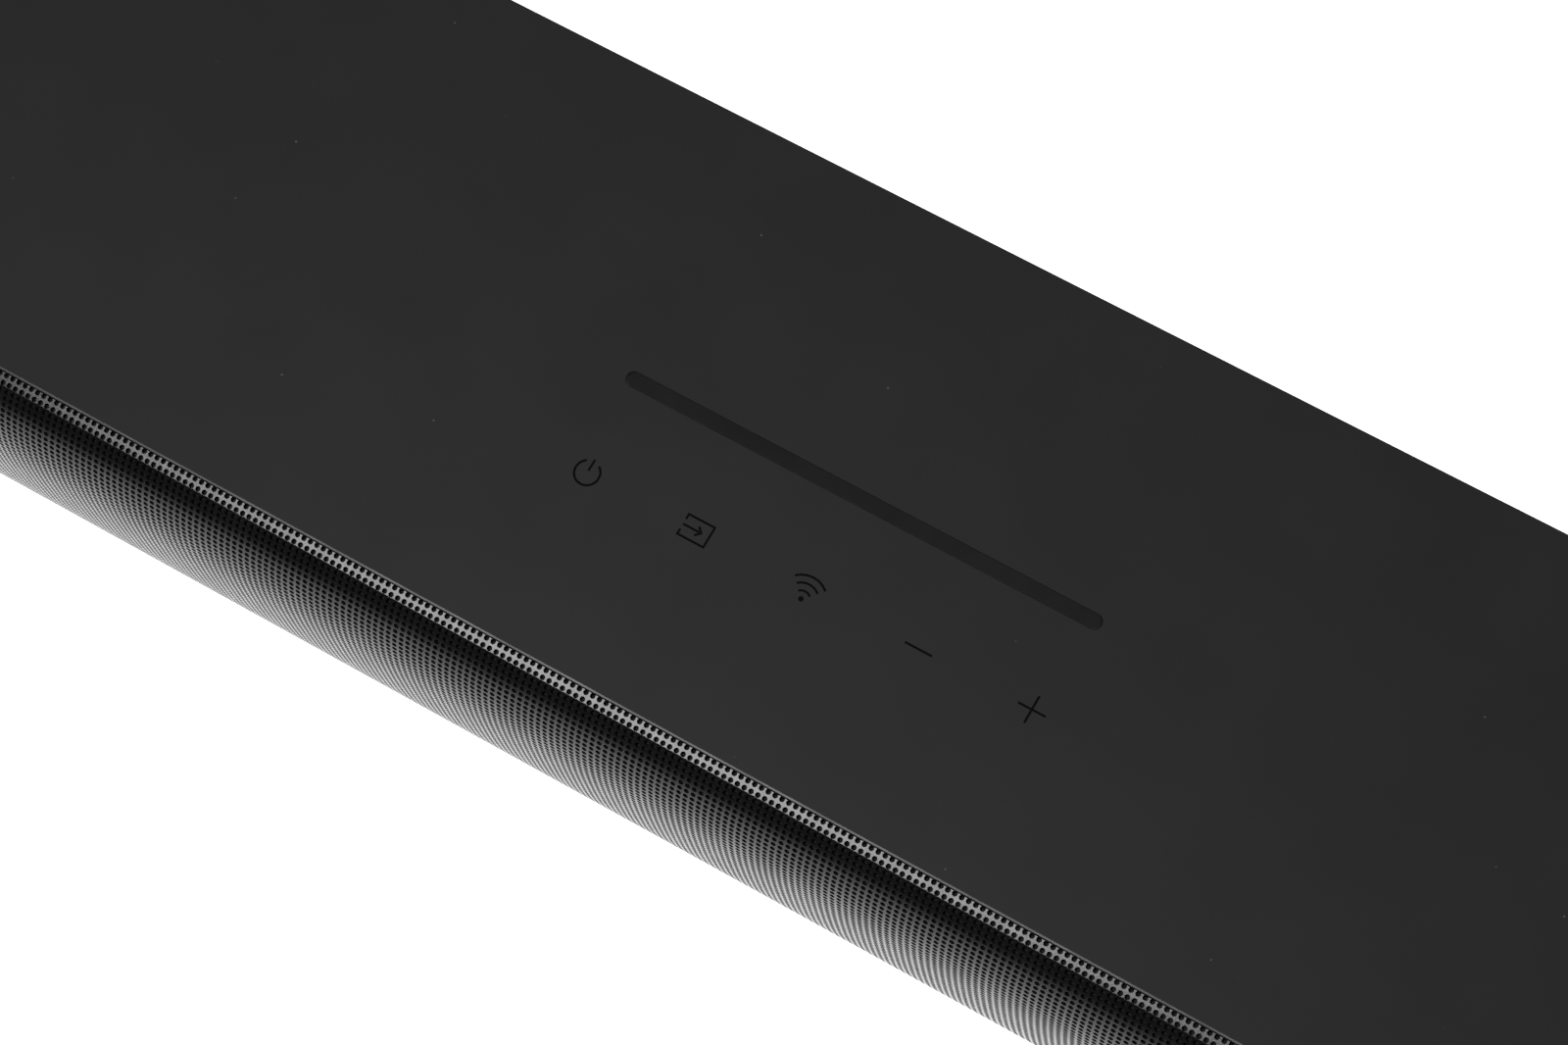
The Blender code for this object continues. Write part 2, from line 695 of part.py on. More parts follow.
def smooth_route(stops, spacing):
    """Points about this far apart on a smooth curve through the stops."""
    stops = [Vector(stop) for stop in stops]
    padded = [2 * stops[0] - stops[1], *stops, 2 * stops[-1] - stops[-2]]
    route = []
    for before, start, end, after in zip(padded, padded[1:], padded[2:], padded[3:]):
        pieces = max(1, round((end - start).length / spacing))
        for piece in range(pieces):
            t = piece / pieces
            route.append(
                0.5
                * (
                    2 * start
                    + (end - before) * t
                    + (2 * before - 5 * start + 4 * end - after) * t**2
                    + (3 * start - before - 3 * end + after) * t**3
                )
            )
    return route + [stops[-1]]


def make_leads():
    """The drivers' leads, from the main board through a divider to the outer woofer."""
    magnet_back = BAFFLE_FRONT + 0.025 + GAP
    for side, sign in (("left", -1), ("right", 1)):
        stops = (
            (sign * 0.143, LEAD_Y, LEAD_Z),
            (sign * DIVIDER_X, LEAD_Y, LEAD_Z),
            (sign * 0.160, LEAD_Y, LEAD_Z),
            (sign * 0.220, -0.008, 0.0062),
            (sign * 0.290, -0.006, 0.0062),
            (sign * 0.322, -0.006, 0.0110),
            (sign * 0.330, magnet_back + 0.0030, 0.0200),
            (sign * 0.330, magnet_back + LEAD_RADIUS, 0.0280),
        )
        route = smooth_route(stops, LEAD_STEP)
        curve = bpy.data.curves.new(f"driver_lead_{side}", "CURVE")
        curve.dimensions = "3D"
        curve.bevel_depth = LEAD_RADIUS
        curve.bevel_resolution = 2
        curve.use_fill_caps = True
        spline = curve.splines.new("POLY")
        spline.points.add(len(route) - 1)
        for point, spot in zip(spline.points, route):
            point.co = (*spot, 1)
        place(f"driver_lead_{side}", curve, SLEEVE_BLACK)


def make_feet_and_screws():
    pad = outline_mesh("foot", rounded_rectangle(FOOT.x, FOOT.y, FOOT.y / 2), FOOT.z)
    for number, (x, y) in enumerate(FOOT_PLACES, 1):
        place(f"foot_{number}", pad, RUBBER, (x, y, FOOT.z / 2))
    seat = BASE_Z + SCREW_HEAD_SEAT[1]
    profile = (
        (0, 0.0100),
        (0.0015, 0.0100),
        (0.0015, -0.0003),
        (0.0030, -0.0003),
        (0.0030, -0.0012),
        (0, -0.0012),
    )
    for number, (x, y) in enumerate(POSTS, 1):
        turned(f"case_screw_{number}", profile, STEEL, (x, y, seat), (0, 0, 0))


make_top_panel()
make_display()
make_grille()
make_baffle()
make_tray()
make_rear_cover()
make_end_caps()
make_dividers()
make_drivers()
make_ports()
make_bay()
make_sockets()
make_shutter()
make_button()
make_electronics()
make_leads()
make_feet_and_screws()
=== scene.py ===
"""Looks of the soundbar: a smooth touch panel with printed symbols, a perforated grille with real holes,
finely shaped mouldings, and the materials, floor, lights and camera.

X runs along the bar, -Y faces the listener and +Z is up, in metres, as in the CAD model.
"""

import math

import bmesh
import bpy
import numpy as np
from mathutils import Matrix, Vector


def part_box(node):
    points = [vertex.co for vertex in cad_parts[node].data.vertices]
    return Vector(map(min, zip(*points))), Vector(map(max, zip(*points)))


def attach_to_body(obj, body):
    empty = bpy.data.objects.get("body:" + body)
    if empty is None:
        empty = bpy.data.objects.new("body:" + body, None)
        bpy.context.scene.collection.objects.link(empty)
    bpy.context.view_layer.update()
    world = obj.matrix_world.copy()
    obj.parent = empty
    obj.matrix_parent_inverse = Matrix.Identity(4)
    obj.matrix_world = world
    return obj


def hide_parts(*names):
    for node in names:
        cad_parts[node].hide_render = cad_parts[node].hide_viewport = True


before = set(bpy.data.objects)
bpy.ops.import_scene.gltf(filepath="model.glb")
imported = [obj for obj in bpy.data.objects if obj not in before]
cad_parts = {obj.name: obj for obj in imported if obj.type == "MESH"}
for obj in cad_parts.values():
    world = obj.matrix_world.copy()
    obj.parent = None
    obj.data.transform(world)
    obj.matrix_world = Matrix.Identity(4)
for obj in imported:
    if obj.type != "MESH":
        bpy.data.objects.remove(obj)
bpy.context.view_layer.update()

# Places read from the frame
PANEL_LOW, PANEL_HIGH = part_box("top_panel")
LENS_LOW, LENS_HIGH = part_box("display_lens")
GRILLE_LOW, GRILLE_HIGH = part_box("front_grille")
CAP_LOW, CAP_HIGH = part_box("end_cap_right")
COVER_LOW, COVER_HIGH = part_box("rear_cover")
TOUCH_LOW, TOUCH_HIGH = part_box("touch_board")
TOP_Z = PANEL_HIGH.z
EDGE_Y = PANEL_LOW.y
BACK_Y = PANEL_HIGH.y
MID_Z = (GRILLE_LOW.z + GRILLE_HIGH.z) / 2
KEY_Y = (TOUCH_LOW.y + TOUCH_HIGH.y) / 2
ROOT = "cabinet"

# Top panel, window and symbols
KEY_PITCH = 0.022
CORNER_RADIUS = 0.002
PANEL_LOW_Z = TOP_Z - (COVER_HIGH.y - COVER_LOW.y)  # the panel is as thick as the rear cover
EDGE_FACET = (0.00032, 0.000062)  # how far in the facet reaches, and how deep
EDGE_SOFT = 0.00006
PAINTED_HIGHLIGHT_TILT = (0.6, 0.999)  # upward part of the normal, between which a face belongs to the facet and the edges' breaks, and gets the lighter colour that paints their highlight
SLOT_PLAY = 0.0002
SLOT_LOW = LENS_LOW - Vector((SLOT_PLAY, SLOT_PLAY, 0))
SLOT_HIGH = LENS_HIGH + Vector((SLOT_PLAY, SLOT_PLAY, 0))
SLOT_BREAK = 0.00006
LENS_PLAY = 0.00003
LENS_SINK = 0.00002
PRINT = 0.00003  # thickness of the ink
LINE = 0.0004  # width of the printed lines

# Grille: the sheet's section, and its square grid of holes
SHEET = 0.0004
GAP = 0.0003  # from the panel's edge to the start of the CAD sheet, and of the end caps' bulge
LAND = 0.0021  # from the panel's edge forward to the fold
LAND_SLOPE = math.radians(12)
FLANK_START = math.radians(32.4)  # how steeply the flank falls at the fold; it is upright half-way down
FLANK_ARC = 0.0319
FLANK_FADE = 0.00886  # how fast it straightens: smaller is sooner
FLANK_STEPS = 240
BULGE = EDGE_Y - GRILLE_LOW.y
HALF_DROP = GRILLE_HIGH.z + GAP * math.tan(LAND_SLOPE) - MID_Z
ON_FOLD = 1e-7  # a point this close behind the fold still has the fold's slope
HOLE_PITCH = 0.0013376
HOLE_RADIUS = 0.00052
HOLE_SIDES = 8
FOLD_BELOW_ROW = 0.00046  # the fold crosses the first row of whole holes, this far under their middles
COLUMNS_EACH_SIDE = 343
SECTIONS = 8
EDGE_CLEARANCE = 0.00002  # from the panel's edge to the sheet
SHARP_FOLD = math.radians(15)
UNWRAPPED = "OFBake"
OUTER_ON_MAP = ((0.998, 0.85), (0.001, 0.002))  # size and corner of the outer face on the map
INNER_ON_MAP = ((0.998, 0.12), (0.001, 0.875))

# Other mouldings
# AXES says which of x, y and height in a drawing becomes X, Y and Z, for each way that it can look
AXES = {"top": (0, 1, 2), "rear": (0, 2, 1), "side": (2, 0, 1)}
LONGEST_RUN = 0.012  # straight sides are cut into steps of about this length
MITRE_LIMIT = 0.5  # a sharp corner moves out at most 1 / this as far as its sides
COVER_CORNER = 0.0008
COVER_ROUNDING = 0.0004
OPENING_ROUNDING = 0.0003
BAY_LOW = Vector((-0.085, 0, MID_Z - 0.017))
BAY_HIGH = Vector((0.085, 0, MID_Z + 0.017))
BAY_CORNER = 0.0016
PORT_PLAY = 0.0001
PORT_THROAT = 0.0120
PORT_WALL = 0.0015
PORT_FLARE = 0.011  # how deep the flare reaches
FLANGE = 0.0022
FLANGE_SOFT = 0.0004
FLANGE_FOOT = (0.0040, 0.0050)  # how far in from the rim the flange's back ends, and how deep
PORT_NECK = (0.0017, 0.0090)  # how far out from the throat the neck begins, and how deep
KEYHOLE_X = 0.200
KEYHOLE_ENTRY = 0.0050
KEYHOLE_SLOT = 0.0050
KEYHOLE_RISE = 0.0090
CAP_ROUNDING = 0.0012
CAP_POINTS = 61
SOLE_ROUNDING = 0.0005
FOOT_STRAIGHT = 0.00001  # half of the straight stretch between a foot's two round ends

# Screws and contacts
SHANK = 0.0014
SHANK_TIP = 0.0009
SHANK_TAPER = 0.0008
HEAD_SEAT = 0.0010  # height over the head's face at which the shank begins
HEAD_HIGH, HEAD_LOW, HEAD_BEVEL = 0.0009, 0.0004, 0.0001  # heights of the head's rim over its face
HEAD_NARROW, HEAD_FLAT = 0.8, 0.45  # parts of its radius at the bevel and at the flat face
SOCKET = 0.0009
SOCKET_FLOOR = 0.0006
SOCKET_DEPTH = 0.0006
SOCKET_POINT = 0.0007
# Each tongue: width, thickness, number of contacts, and height above the middle of its socket
TONGUES = {"hdmi": (0.0115, 0.0012, 9, 0), "usb": (0.0100, 0.0018, 4, 0.0009)}
TONGUE_FOOT = 0.0006
TONGUE_SHORT = 0.0015
TONGUE_ROUNDING = 0.0001
CONTACT_THICK = 0.00012
CONTACT_ROUNDING = 0.00003
CONTACT_SHORT = 0.0008
CONTACT_SHARE = 0.28  # half of a contact's width, as a part of their spacing
PIN_APART = 0.0086
PIN_RADIUS = 0.00125
PIN_NOSE = 0.0007
PIN_DEPTHS = (0.0020, 0.0028, 0.0150)  # of its nose, of the shoulder behind it and of its foot

# Camera, floor and light
CAMERA_FROM_KEYS = Vector((7.47029, -7.29666, 32.50115)) * KEY_PITCH
CAMERA_AZIMUTH = math.radians(45.79)
CAMERA_ELEVATION = math.radians(71.27)
CAMERA_ROLL = math.radians(-16.344)
LENS_MM = 101.12
SENSOR_MM = 36.0
FLOOR_HALF = 30
# strengths of the floor's painted glow, in the pool under the bar and far from it
FLOOR_GLOW = 1.55
FLOOR_FAR_GLOW = 0.35
POOL_SHAPE = (0.25, 1.0, 0.0)  # the pool of light is four times as long as it is wide
POOL_ENDS = (0.16, 0.36)
SOFTBOX_PLACE = Vector((-0.35, -0.33, 1.53))
SOFTBOX_SIZE = (0.50, 0.62)
SOFTBOX_RADIANCE = 17.0
STUDIO_PALE = (0.8, 0.8, 0.8, 1)
STUDIO_DARK = 0.003
# Each fade: where it starts and ends on the unit sky, up (Z) or back (Y), and the strengths there
DARK_OVERHEAD = (0.15, 0.6, 1, STUDIO_DARK)
DARK_AHEAD = (-0.5, 0.2, STUDIO_DARK, 1)


def link(obj):
    bpy.context.scene.collection.objects.link(obj)
    return obj


def mesh_from(name, shape):
    """The finished mesh of a shape, which is freed."""
    mesh = bpy.data.meshes.new(name)
    shape.to_mesh(mesh)
    shape.free()
    return mesh


def mesh_object(name, mesh, finish):
    mesh.materials.clear()
    mesh.materials.append(finish)
    return link(bpy.data.objects.new(name, mesh))


def attach(piece, body, slot_name, *nodes):
    """Has a piece ride on a body, in place of the CAD nodes that it stands for. The slot name is not used.
    """
    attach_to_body(piece, body)
    if nodes:
        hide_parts(*nodes)
    return piece


# ---------------------------------------------------------------- materials


class Finish:
    """A Principled material whose colour, roughness and relief are built from noise in object space."""

    def __init__(self, name, metallic=0.0):
        self.material = bpy.data.materials.new(name)
        self.material.use_nodes = True
        self.tree = self.material.node_tree
        self.shader = self.tree.nodes["Principled BSDF"]
        self.shader.inputs["Metallic"].default_value = metallic
        self.place = self.node("ShaderNodeTexCoord").outputs["Object"]
        self.height = None

    def node(self, kind, **settings):
        made = self.tree.nodes.new(kind)
        for key, value in settings.items():
            setattr(made, key, value)
        return made

    def join(self, source, target):
        self.tree.links.new(source, target)

    def stretched(self, stretch):
        """Object coordinates, scaled on each axis, for grain that runs one way."""
        mapping = self.node("ShaderNodeMapping")
        mapping.inputs["Scale"].default_value = stretch
        self.join(self.place, mapping.inputs["Vector"])
        return mapping.outputs["Vector"]

    def noise(self, size, detail=3.0, stretch=None):
        """Noise whose features are about this many metres across."""
        texture = self.node("ShaderNodeTexNoise")
        texture.inputs["Scale"].default_value = 1 / size
        texture.inputs["Detail"].default_value = detail
        self.join(self.stretched(stretch) if stretch else self.place, texture.inputs["Vector"])
        return texture.outputs["Fac"]

    def cells(self, size, feature="F1"):
        texture = self.node("ShaderNodeTexVoronoi", feature=feature)
        texture.inputs["Scale"].default_value = 1 / size
        self.join(self.place, texture.inputs["Vector"])
        return texture

    def spread(self, value, low, high, start=0.3, end=0.7):
        """Maps the middle of a noise's range to low..high."""
        remap = self.node("ShaderNodeMapRange")
        remap.inputs["From Min"].default_value = start
        remap.inputs["From Max"].default_value = end
        remap.inputs["To Min"].default_value = low
        remap.inputs["To Max"].default_value = high
        self.join(value, remap.inputs["Value"])
        return remap.outputs["Result"]

    def mix(self, amount, first, second):
        """A colour that goes from first to second; each is a colour or a socket."""
        blend = self.node("ShaderNodeMix", data_type="RGBA")
        colours = [socket for socket in blend.inputs if socket.type == "RGBA"]
        for socket, colour in zip(colours, (first, second)):
            if isinstance(colour, tuple):
                socket.default_value = (*colour, 1)
            else:
                self.join(colour, socket)
        self.join(amount, blend.inputs["Factor"])
        return next(socket for socket in blend.outputs if socket.type == "RGBA")

    def colour(self, socket):
        self.join(socket, self.shader.inputs["Base Color"])

    def mottled(self, colour, variation, size):
        """Base colour that drifts a little about its middle value."""
        dark = tuple(part * (1 - variation) for part in colour)
        light = tuple(part * (1 + variation) for part in colour)
        tone = self.mix(self.spread(self.noise(size), 0, 1), dark, light)
        self.colour(tone)
        return tone

    def rough(self, middle, variation, size, stretch=None):
        """Roughness that wanders about its middle value."""
        value = self.spread(self.noise(size, 2.0, stretch), middle - variation, middle + variation)
        self.join(value, self.shader.inputs["Roughness"])

    def bump(self, value, depth):
        """Relief this deep, in metres; a second call adds to the first."""
        relief = self.node("ShaderNodeBump")
        relief.inputs["Distance"].default_value = depth
        self.join(value, relief.inputs["Height"])
        if self.height:
            self.join(self.height, relief.inputs["Normal"])
        self.height = relief.outputs["Normal"]
        self.join(self.height, self.shader.inputs["Normal"])

    def set(self, **values):
        """Sets sockets of the shader, with _ for each space in their names."""
        for name, value in values.items():
            self.shader.inputs[name.replace("_", " ")].default_value = value


def panel_plastic():
    """Matte black moulding with a fine grain, a faint drift in sheen and a few dust specks."""
    finish = Finish("panel_satin")
    tone = finish.mottled((0.0245, 0.0245, 0.0247), 0.05, 0.02)
    dust = finish.cells(0.0070)
    speck = finish.spread(dust.outputs["Distance"], 1, 0, 0.018, 0.030)
    finish.colour(finish.mix(speck, tone, (0.12, 0.12, 0.12)))
    finish.rough(0.42, 0.02, 0.015)
    finish.bump(finish.noise(0.00012, 4.0), 0.000004)
    finish.set(Specular_IOR_Level=0.11)
    return finish.material


def facet_with_painted_highlight():
    """The panel's narrow facet and breaks: polished, and lighter in colour than the panel, a painted
    highlight along the rim.
    """
    finish = Finish("panel_facet_painted_highlight")
    # painted highlight: this colour is lighter than the panel's so that the rim and the slot's edge read as
    # lit
    finish.mottled((0.030, 0.030, 0.030), 0.1, 0.004)
    finish.rough(0.30, 0.05, 0.0012, (0.2, 1.0, 1.0))
    finish.bump(finish.noise(0.0003), 0.000002)
    finish.set(Specular_IOR_Level=0.2)
    return finish.material


def case_plastic():
    """Black moulded plastic with a coarser leather-like tool texture."""
    finish = Finish("case_moulding")
    finish.mottled((0.020, 0.020, 0.0205), 0.10, 0.012)
    finish.rough(0.58, 0.05, 0.004)
    finish.bump(finish.cells(0.00045).outputs["Distance"], 0.00002)
    finish.bump(finish.noise(0.00015), 0.00001)
    return finish.material


def grille_metal():
    """Sheet steel under a thin coat of black paint with a slight orange peel."""
    finish = Finish("grille_paint")
    finish.mottled((0.0100, 0.0100, 0.0103), 0.15, 0.006)
    finish.rough(0.20, 0.03, 0.002)
    finish.bump(finish.noise(0.0004), 0.000006)
    finish.set(Specular_IOR_Level=0.31)
    return finish.material


def black_fleece():
    """Felted fibres, seen as near black behind the holes."""
    finish = Finish("backing_fleece")
    finish.mottled((0.0045, 0.0045, 0.0045), 0.4, 0.0008)
    fibres = finish.noise(0.00025, 4.0, (1.0, 0.25, 0.25))
    finish.bump(fibres, 0.00015)
    finish.set(Roughness=0.95, Sheen_Weight=0.1, Sheen_Roughness=0.6)
    return finish.material


def smoked_lens():
    """Dark window with a satin, faintly wavy face."""
    finish = Finish("smoked_window")
    finish.mottled((0.0098, 0.0098, 0.0101), 0.12, 0.012)
    finish.rough(0.38, 0.03, 0.004)
    finish.bump(finish.noise(0.0012), 0.000002)
    finish.set(Specular_IOR_Level=0.12)
    return finish.material


def symbol_ink():
    """Black print with hardly any gloss, slightly uneven in cover."""
    finish = Finish("symbol_ink")
    finish.mottled((0.0022, 0.0022, 0.0023), 0.35, 0.0006)
    finish.rough(0.42, 0.06, 0.0004)
    finish.bump(finish.noise(0.0001), 0.000003)
    finish.set(Specular_IOR_Level=0.03)
    return finish.material


def rubber():
    """Soft black rubber with a dusty bloom."""
    finish = Finish("foot_rubber")
    tone = finish.mottled((0.016, 0.016, 0.016), 0.2, 0.003)
    bloom = finish.spread(finish.noise(0.006), 0, 0.25)
    finish.colour(finish.mix(bloom, tone, (0.07, 0.07, 0.068)))
    finish.rough(0.82, 0.08, 0.002)
    finish.bump(finish.noise(0.0003), 0.00002)
    return finish.material


def metal(name, colour, roughness, stretch):
    """Bare or plated metal with drawn or rolled marks along one axis."""
    finish = Finish(name, 1.0)
    finish.mottled(colour, 0.12, 0.004)
    finish.rough(roughness, 0.08, 0.0008, stretch)
    finish.bump(finish.noise(0.0004, 3.0, stretch), 0.000005)
    return finish.material


def moulded(name, colour, roughness, grain):
    """A plain moulding in another colour or texture."""
    finish = Finish(name)
    finish.mottled(colour, 0.12, 0.004)
    finish.rough(roughness, 0.06, 0.002)
    finish.bump(finish.noise(grain), grain / 15)
    return finish.material


def light_pipe():
    """Milky acrylic that spreads the display's light."""
    finish = Finish("light_pipe_acrylic")
    finish.mottled((0.78, 0.78, 0.76), 0.03, 0.01)
    finish.rough(0.4, 0.05, 0.003)
    finish.set(Subsurface_Weight=0.3, Subsurface_Radius=(0.002, 0.002, 0.002))
    return finish.material


def circuit_board():
    """Green solder mask over copper tracks, with a fine glass weave under it."""
    finish = Finish("board_mask")
    tracks = finish.cells(0.0035, "DISTANCE_TO_EDGE").outputs["Distance"]
    track = finish.spread(tracks, 1, 0, 0.03, 0.05)
    finish.colour(finish.mix(track, (0.010, 0.085, 0.035), (0.030, 0.170, 0.070)))
    finish.rough(0.42, 0.06, 0.002)
    finish.bump(track, 0.00003)
    return finish.material


def ferrite():
    """Dark grey sintered magnet with pits."""
    finish = Finish("ferrite_sinter")
    finish.mottled((0.055, 0.055, 0.060), 0.25, 0.001)
    finish.rough(0.55, 0.12, 0.001)
    finish.bump(finish.cells(0.0006).outputs["Distance"], 0.00004)
    return finish.material


def cone_paper():
    """Pressed paper pulp with short fibres."""
    finish = Finish("cone_pulp")
    finish.mottled((0.032, 0.032, 0.034), 0.3, 0.0008)
    finish.rough(0.8, 0.08, 0.001)
    finish.bump(finish.noise(0.0003, 5.0, (1.0, 0.4, 1.0)), 0.00006)
    return finish.material


def dome_silk():
    """Woven silk dome under a thin damping coat."""
    finish = Finish("dome_weave")
    finish.mottled((0.028, 0.028, 0.030), 0.2, 0.001)
    finish.rough(0.68, 0.06, 0.002)
    for direction in ("X", "Z"):
        threads = finish.node("ShaderNodeTexWave", bands_direction=direction)
        threads.inputs["Scale"].default_value = 900
        finish.join(finish.place, threads.inputs["Vector"])
        finish.bump(threads.outputs["Fac"], 0.00002)
    return finish.material


def winding_tape():
    """Yellow polyester tape, wrapped in overlapping turns."""
    finish = Finish("winding_tape_wrap")
    turns = finish.node("ShaderNodeTexWave", bands_direction="X", wave_profile="SAW")
    turns.inputs["Scale"].default_value = 40
    finish.join(finish.place, turns.inputs["Vector"])
    finish.colour(finish.mix(turns.outputs["Fac"], (0.52, 0.37, 0.06), (0.72, 0.54, 0.11)))
    finish.rough(0.42, 0.08, 0.003)
    finish.bump(turns.outputs["Fac"], 0.00006)
    return finish.material


FINISHES = {
    "panel_plastic": panel_plastic(),
    "case_plastic": case_plastic(),
    "grille_metal": grille_metal(),
    "black_fleece": black_fleece(),
    "smoked_lens": smoked_lens(),
    "light_pipe": light_pipe(),
    "circuit_board": circuit_board(),
    "plated_steel": metal("plated_steel_rolled", (0.58, 0.58, 0.57), 0.34, (1.0, 8.0, 1.0)),
    "ferrite": ferrite(),
    "cone_paper": cone_paper(),
    "rubber": rubber(),
    "dome_silk": dome_silk(),
    "moulded_black": moulded("socket_moulding", (0.012, 0.012, 0.013), 0.42, 0.0002),
    "winding_tape": winding_tape(),
    "aluminium": metal("aluminium_extruded", (0.70, 0.70, 0.72), 0.38, (1.0, 0.1, 1.0)),
}
INK = symbol_ink()
GOLD = metal("contact_gold", (0.83, 0.62, 0.25), 0.25, (1.0, 6.0, 1.0))


def finish_frame():
    """Gives every carried-over CAD node the detailed material of its slot."""
    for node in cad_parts.values():
        for place in node.material_slots:
            place.material = FINISHES[place.material.name.split(".")[0]]


# ---------------------------------------------------------------- flat and turned mouldings


def arc(centre, radius, start, end, steps):
    """Points on an arc, from start to end in degrees, both included."""
    angles = [math.radians(start + (end - start) * step / steps) for step in range(steps + 1)]
    return [
        (centre[0] + radius * math.cos(angle), centre[1] + radius * math.sin(angle))
        for angle in angles
    ]


def divided(points, steps):
    """The same outline with its four straight runs cut into even steps, so that no face is a long sliver."""
    finer = []
    for number, (start, end) in enumerate(zip(points, points[1:] + points[:1])):
        straight = number % (steps + 1) == steps
        parts = max(1, round(math.dist(start, end) / LONGEST_RUN)) if straight else 1
        for part in range(parts):
            finer.append(Vector(start).lerp(Vector(end), part / parts))
    return finer


def rounded(low, high, radius, steps=8):
    """A rectangle with round corners, as a function of how far it is grown outward."""
    left, right = low[0] + radius, high[0] - radius
    bottom, top = low[1] + radius, high[1] - radius
    corners = ((right, top), (left, top), (left, bottom), (right, bottom))

    def outline(grow):
        points = []
        for quarter, corner in enumerate(corners):
            points += arc(corner, radius + grow, 90 * quarter, 90 * quarter + 90, steps)
        return divided(points, steps)

    return outline


def circle(centre, radius, steps=64):
    """A round outline, as a function of how far it is grown."""
    return lambda grow: arc(centre, radius + grow, 0, 360 - 360 / steps, steps - 1)


def keyhole(centre, entry, half_width, top):
    """A round entry with a narrower slot above it, up to a round end."""

    def outline(grow):
        reach, half = entry + grow, half_width + grow
        spread = math.degrees(math.asin(half / reach))
        mouth = arc(centre, reach, 90 + spread, 450 - spread, 40)
        return mouth + arc((centre[0], centre[1] + top), half, 0, 180, 16)

    return outline


def polygon(points):
    """A counter-clockwise outline whose sides move outward as it grows."""

    def outline(grow):
        corners = [Vector(point) for point in points]
        moved = []
        for before, corner, after in zip(corners[-1:] + corners, corners, corners[1:] + corners[:1]):
            arrive, leave = (corner - before).normalized(), (after - corner).normalized()
            out = Vector((arrive.y + leave.y, -arrive.x - leave.x)).normalized()
            reach = grow / max(MITRE_LIMIT, out.dot(Vector((arrive.y, -arrive.x))))
            moved.append(corner + out * reach)
        return moved

    return outline


def faced(x, y, height, facing):
    """A drawing's point along the bar's axes. The drawing looks up, back or out at the right end."""
    drawn = (x, y, height)
    return Vector([drawn[axis] for axis in AXES[facing]])


def plate(name, outer, profile, holes=(), hole_profile=(), facing="top"):
    """A plate from its outlines and edge profiles.

    A profile lists (how far the edge is drawn back, height) from the shown face to the hidden one. The face
    looks along +Z (top), +Y (rear, drawn in X and Z) or +X (side, drawn in Y and Z).
    """
    shape = bmesh.new()
    ends = ([], [])
    for outline, edge, sign in [(outer, profile, -1)] + [(hole, hole_profile, 1) for hole in holes]:
        rings = [
            [shape.verts.new(faced(*spot, height, facing)) for spot in outline(sign * back)]
            for back, height in edge
        ]
        for upper, lower in zip(rings, rings[1:]):
            for number in range(len(upper)):
                after = (number + 1) % len(upper)
                shape.faces.new((upper[number], lower[number], lower[after], upper[after]))
        for ring, side in ((rings[0], ends[0]), (rings[-1], ends[1])):
            side += [shape.edges.get((a, b)) for a, b in zip(ring, ring[1:] + ring[:1])]
    for side in ends:
        bmesh.ops.triangle_fill(shape, use_beauty=True, use_dissolve=False, edges=side)
    bmesh.ops.recalc_face_normals(shape, faces=shape.faces)
    return mesh_from(name, shape)


def round_edge(radius, top, bottom, steps=4):
    """Edge profile of a plate with its shown edge rounded over and its hidden edge square."""
    profile = [
        (radius - radius * math.sin(angle), top - radius + radius * math.cos(angle))
        for angle in (math.pi / 2 * step / steps for step in range(steps + 1))
    ]
    return profile + [(0, bottom)]


def turned_over(profile, low, high):
    """The same edge profile with the plate upside down between two heights."""
    return [(back, low + high - height) for back, height in profile]


def turned(name, profile, place, facing, steps=64):
    """A body turned about X, Y or Z through a place, from (radius, height) points.

    One that starts on its axis ends on it, and any other closes on itself.
    """
    shape = bmesh.new()
    rings = []
    for radius, height in profile:
        spots = [(0, 0)] if radius == 0 else circle((0, 0), radius, steps)(0)
        rings.append([shape.verts.new(Vector(place) + faced(x, y, height, facing)) for x, y in spots])
    closing = [] if profile[0][0] == 0 else [(rings[-1], rings[0])]
    for upper, lower in list(zip(rings, rings[1:])) + closing:
        for number in range(steps):
            after = (number + 1) % steps
            corners = [upper[number % len(upper)], lower[number % len(lower)]]
            corners += [lower[after % len(lower)], upper[after % len(upper)]]
            shape.faces.new(list(dict.fromkeys(corners)))
    bmesh.ops.recalc_face_normals(shape, faces=shape.faces)
    return mesh_from(name, shape)


def smooth(piece, angle):
    """Smooth shading that keeps flat faces flat and edges over this angle sharp."""
    piece.data.shade_smooth()
    piece.data.set_sharp_from_angle(angle=math.radians(angle))
    weighted = piece.modifiers.new("flat faces", "WEIGHTED_NORMAL")
    weighted.keep_sharp = True
    weighted.weight = 100
    return piece


def shown(name, mesh, slot_name, *nodes, angle=40, finish=None):
    """Adds a smooth-shaded piece that rides on the cabinet, and hides the CAD nodes that it stands for."""
    piece = smooth(mesh_object(name, mesh, finish or FINISHES[slot_name]), angle)
    return attach(piece, ROOT, slot_name, *nodes)


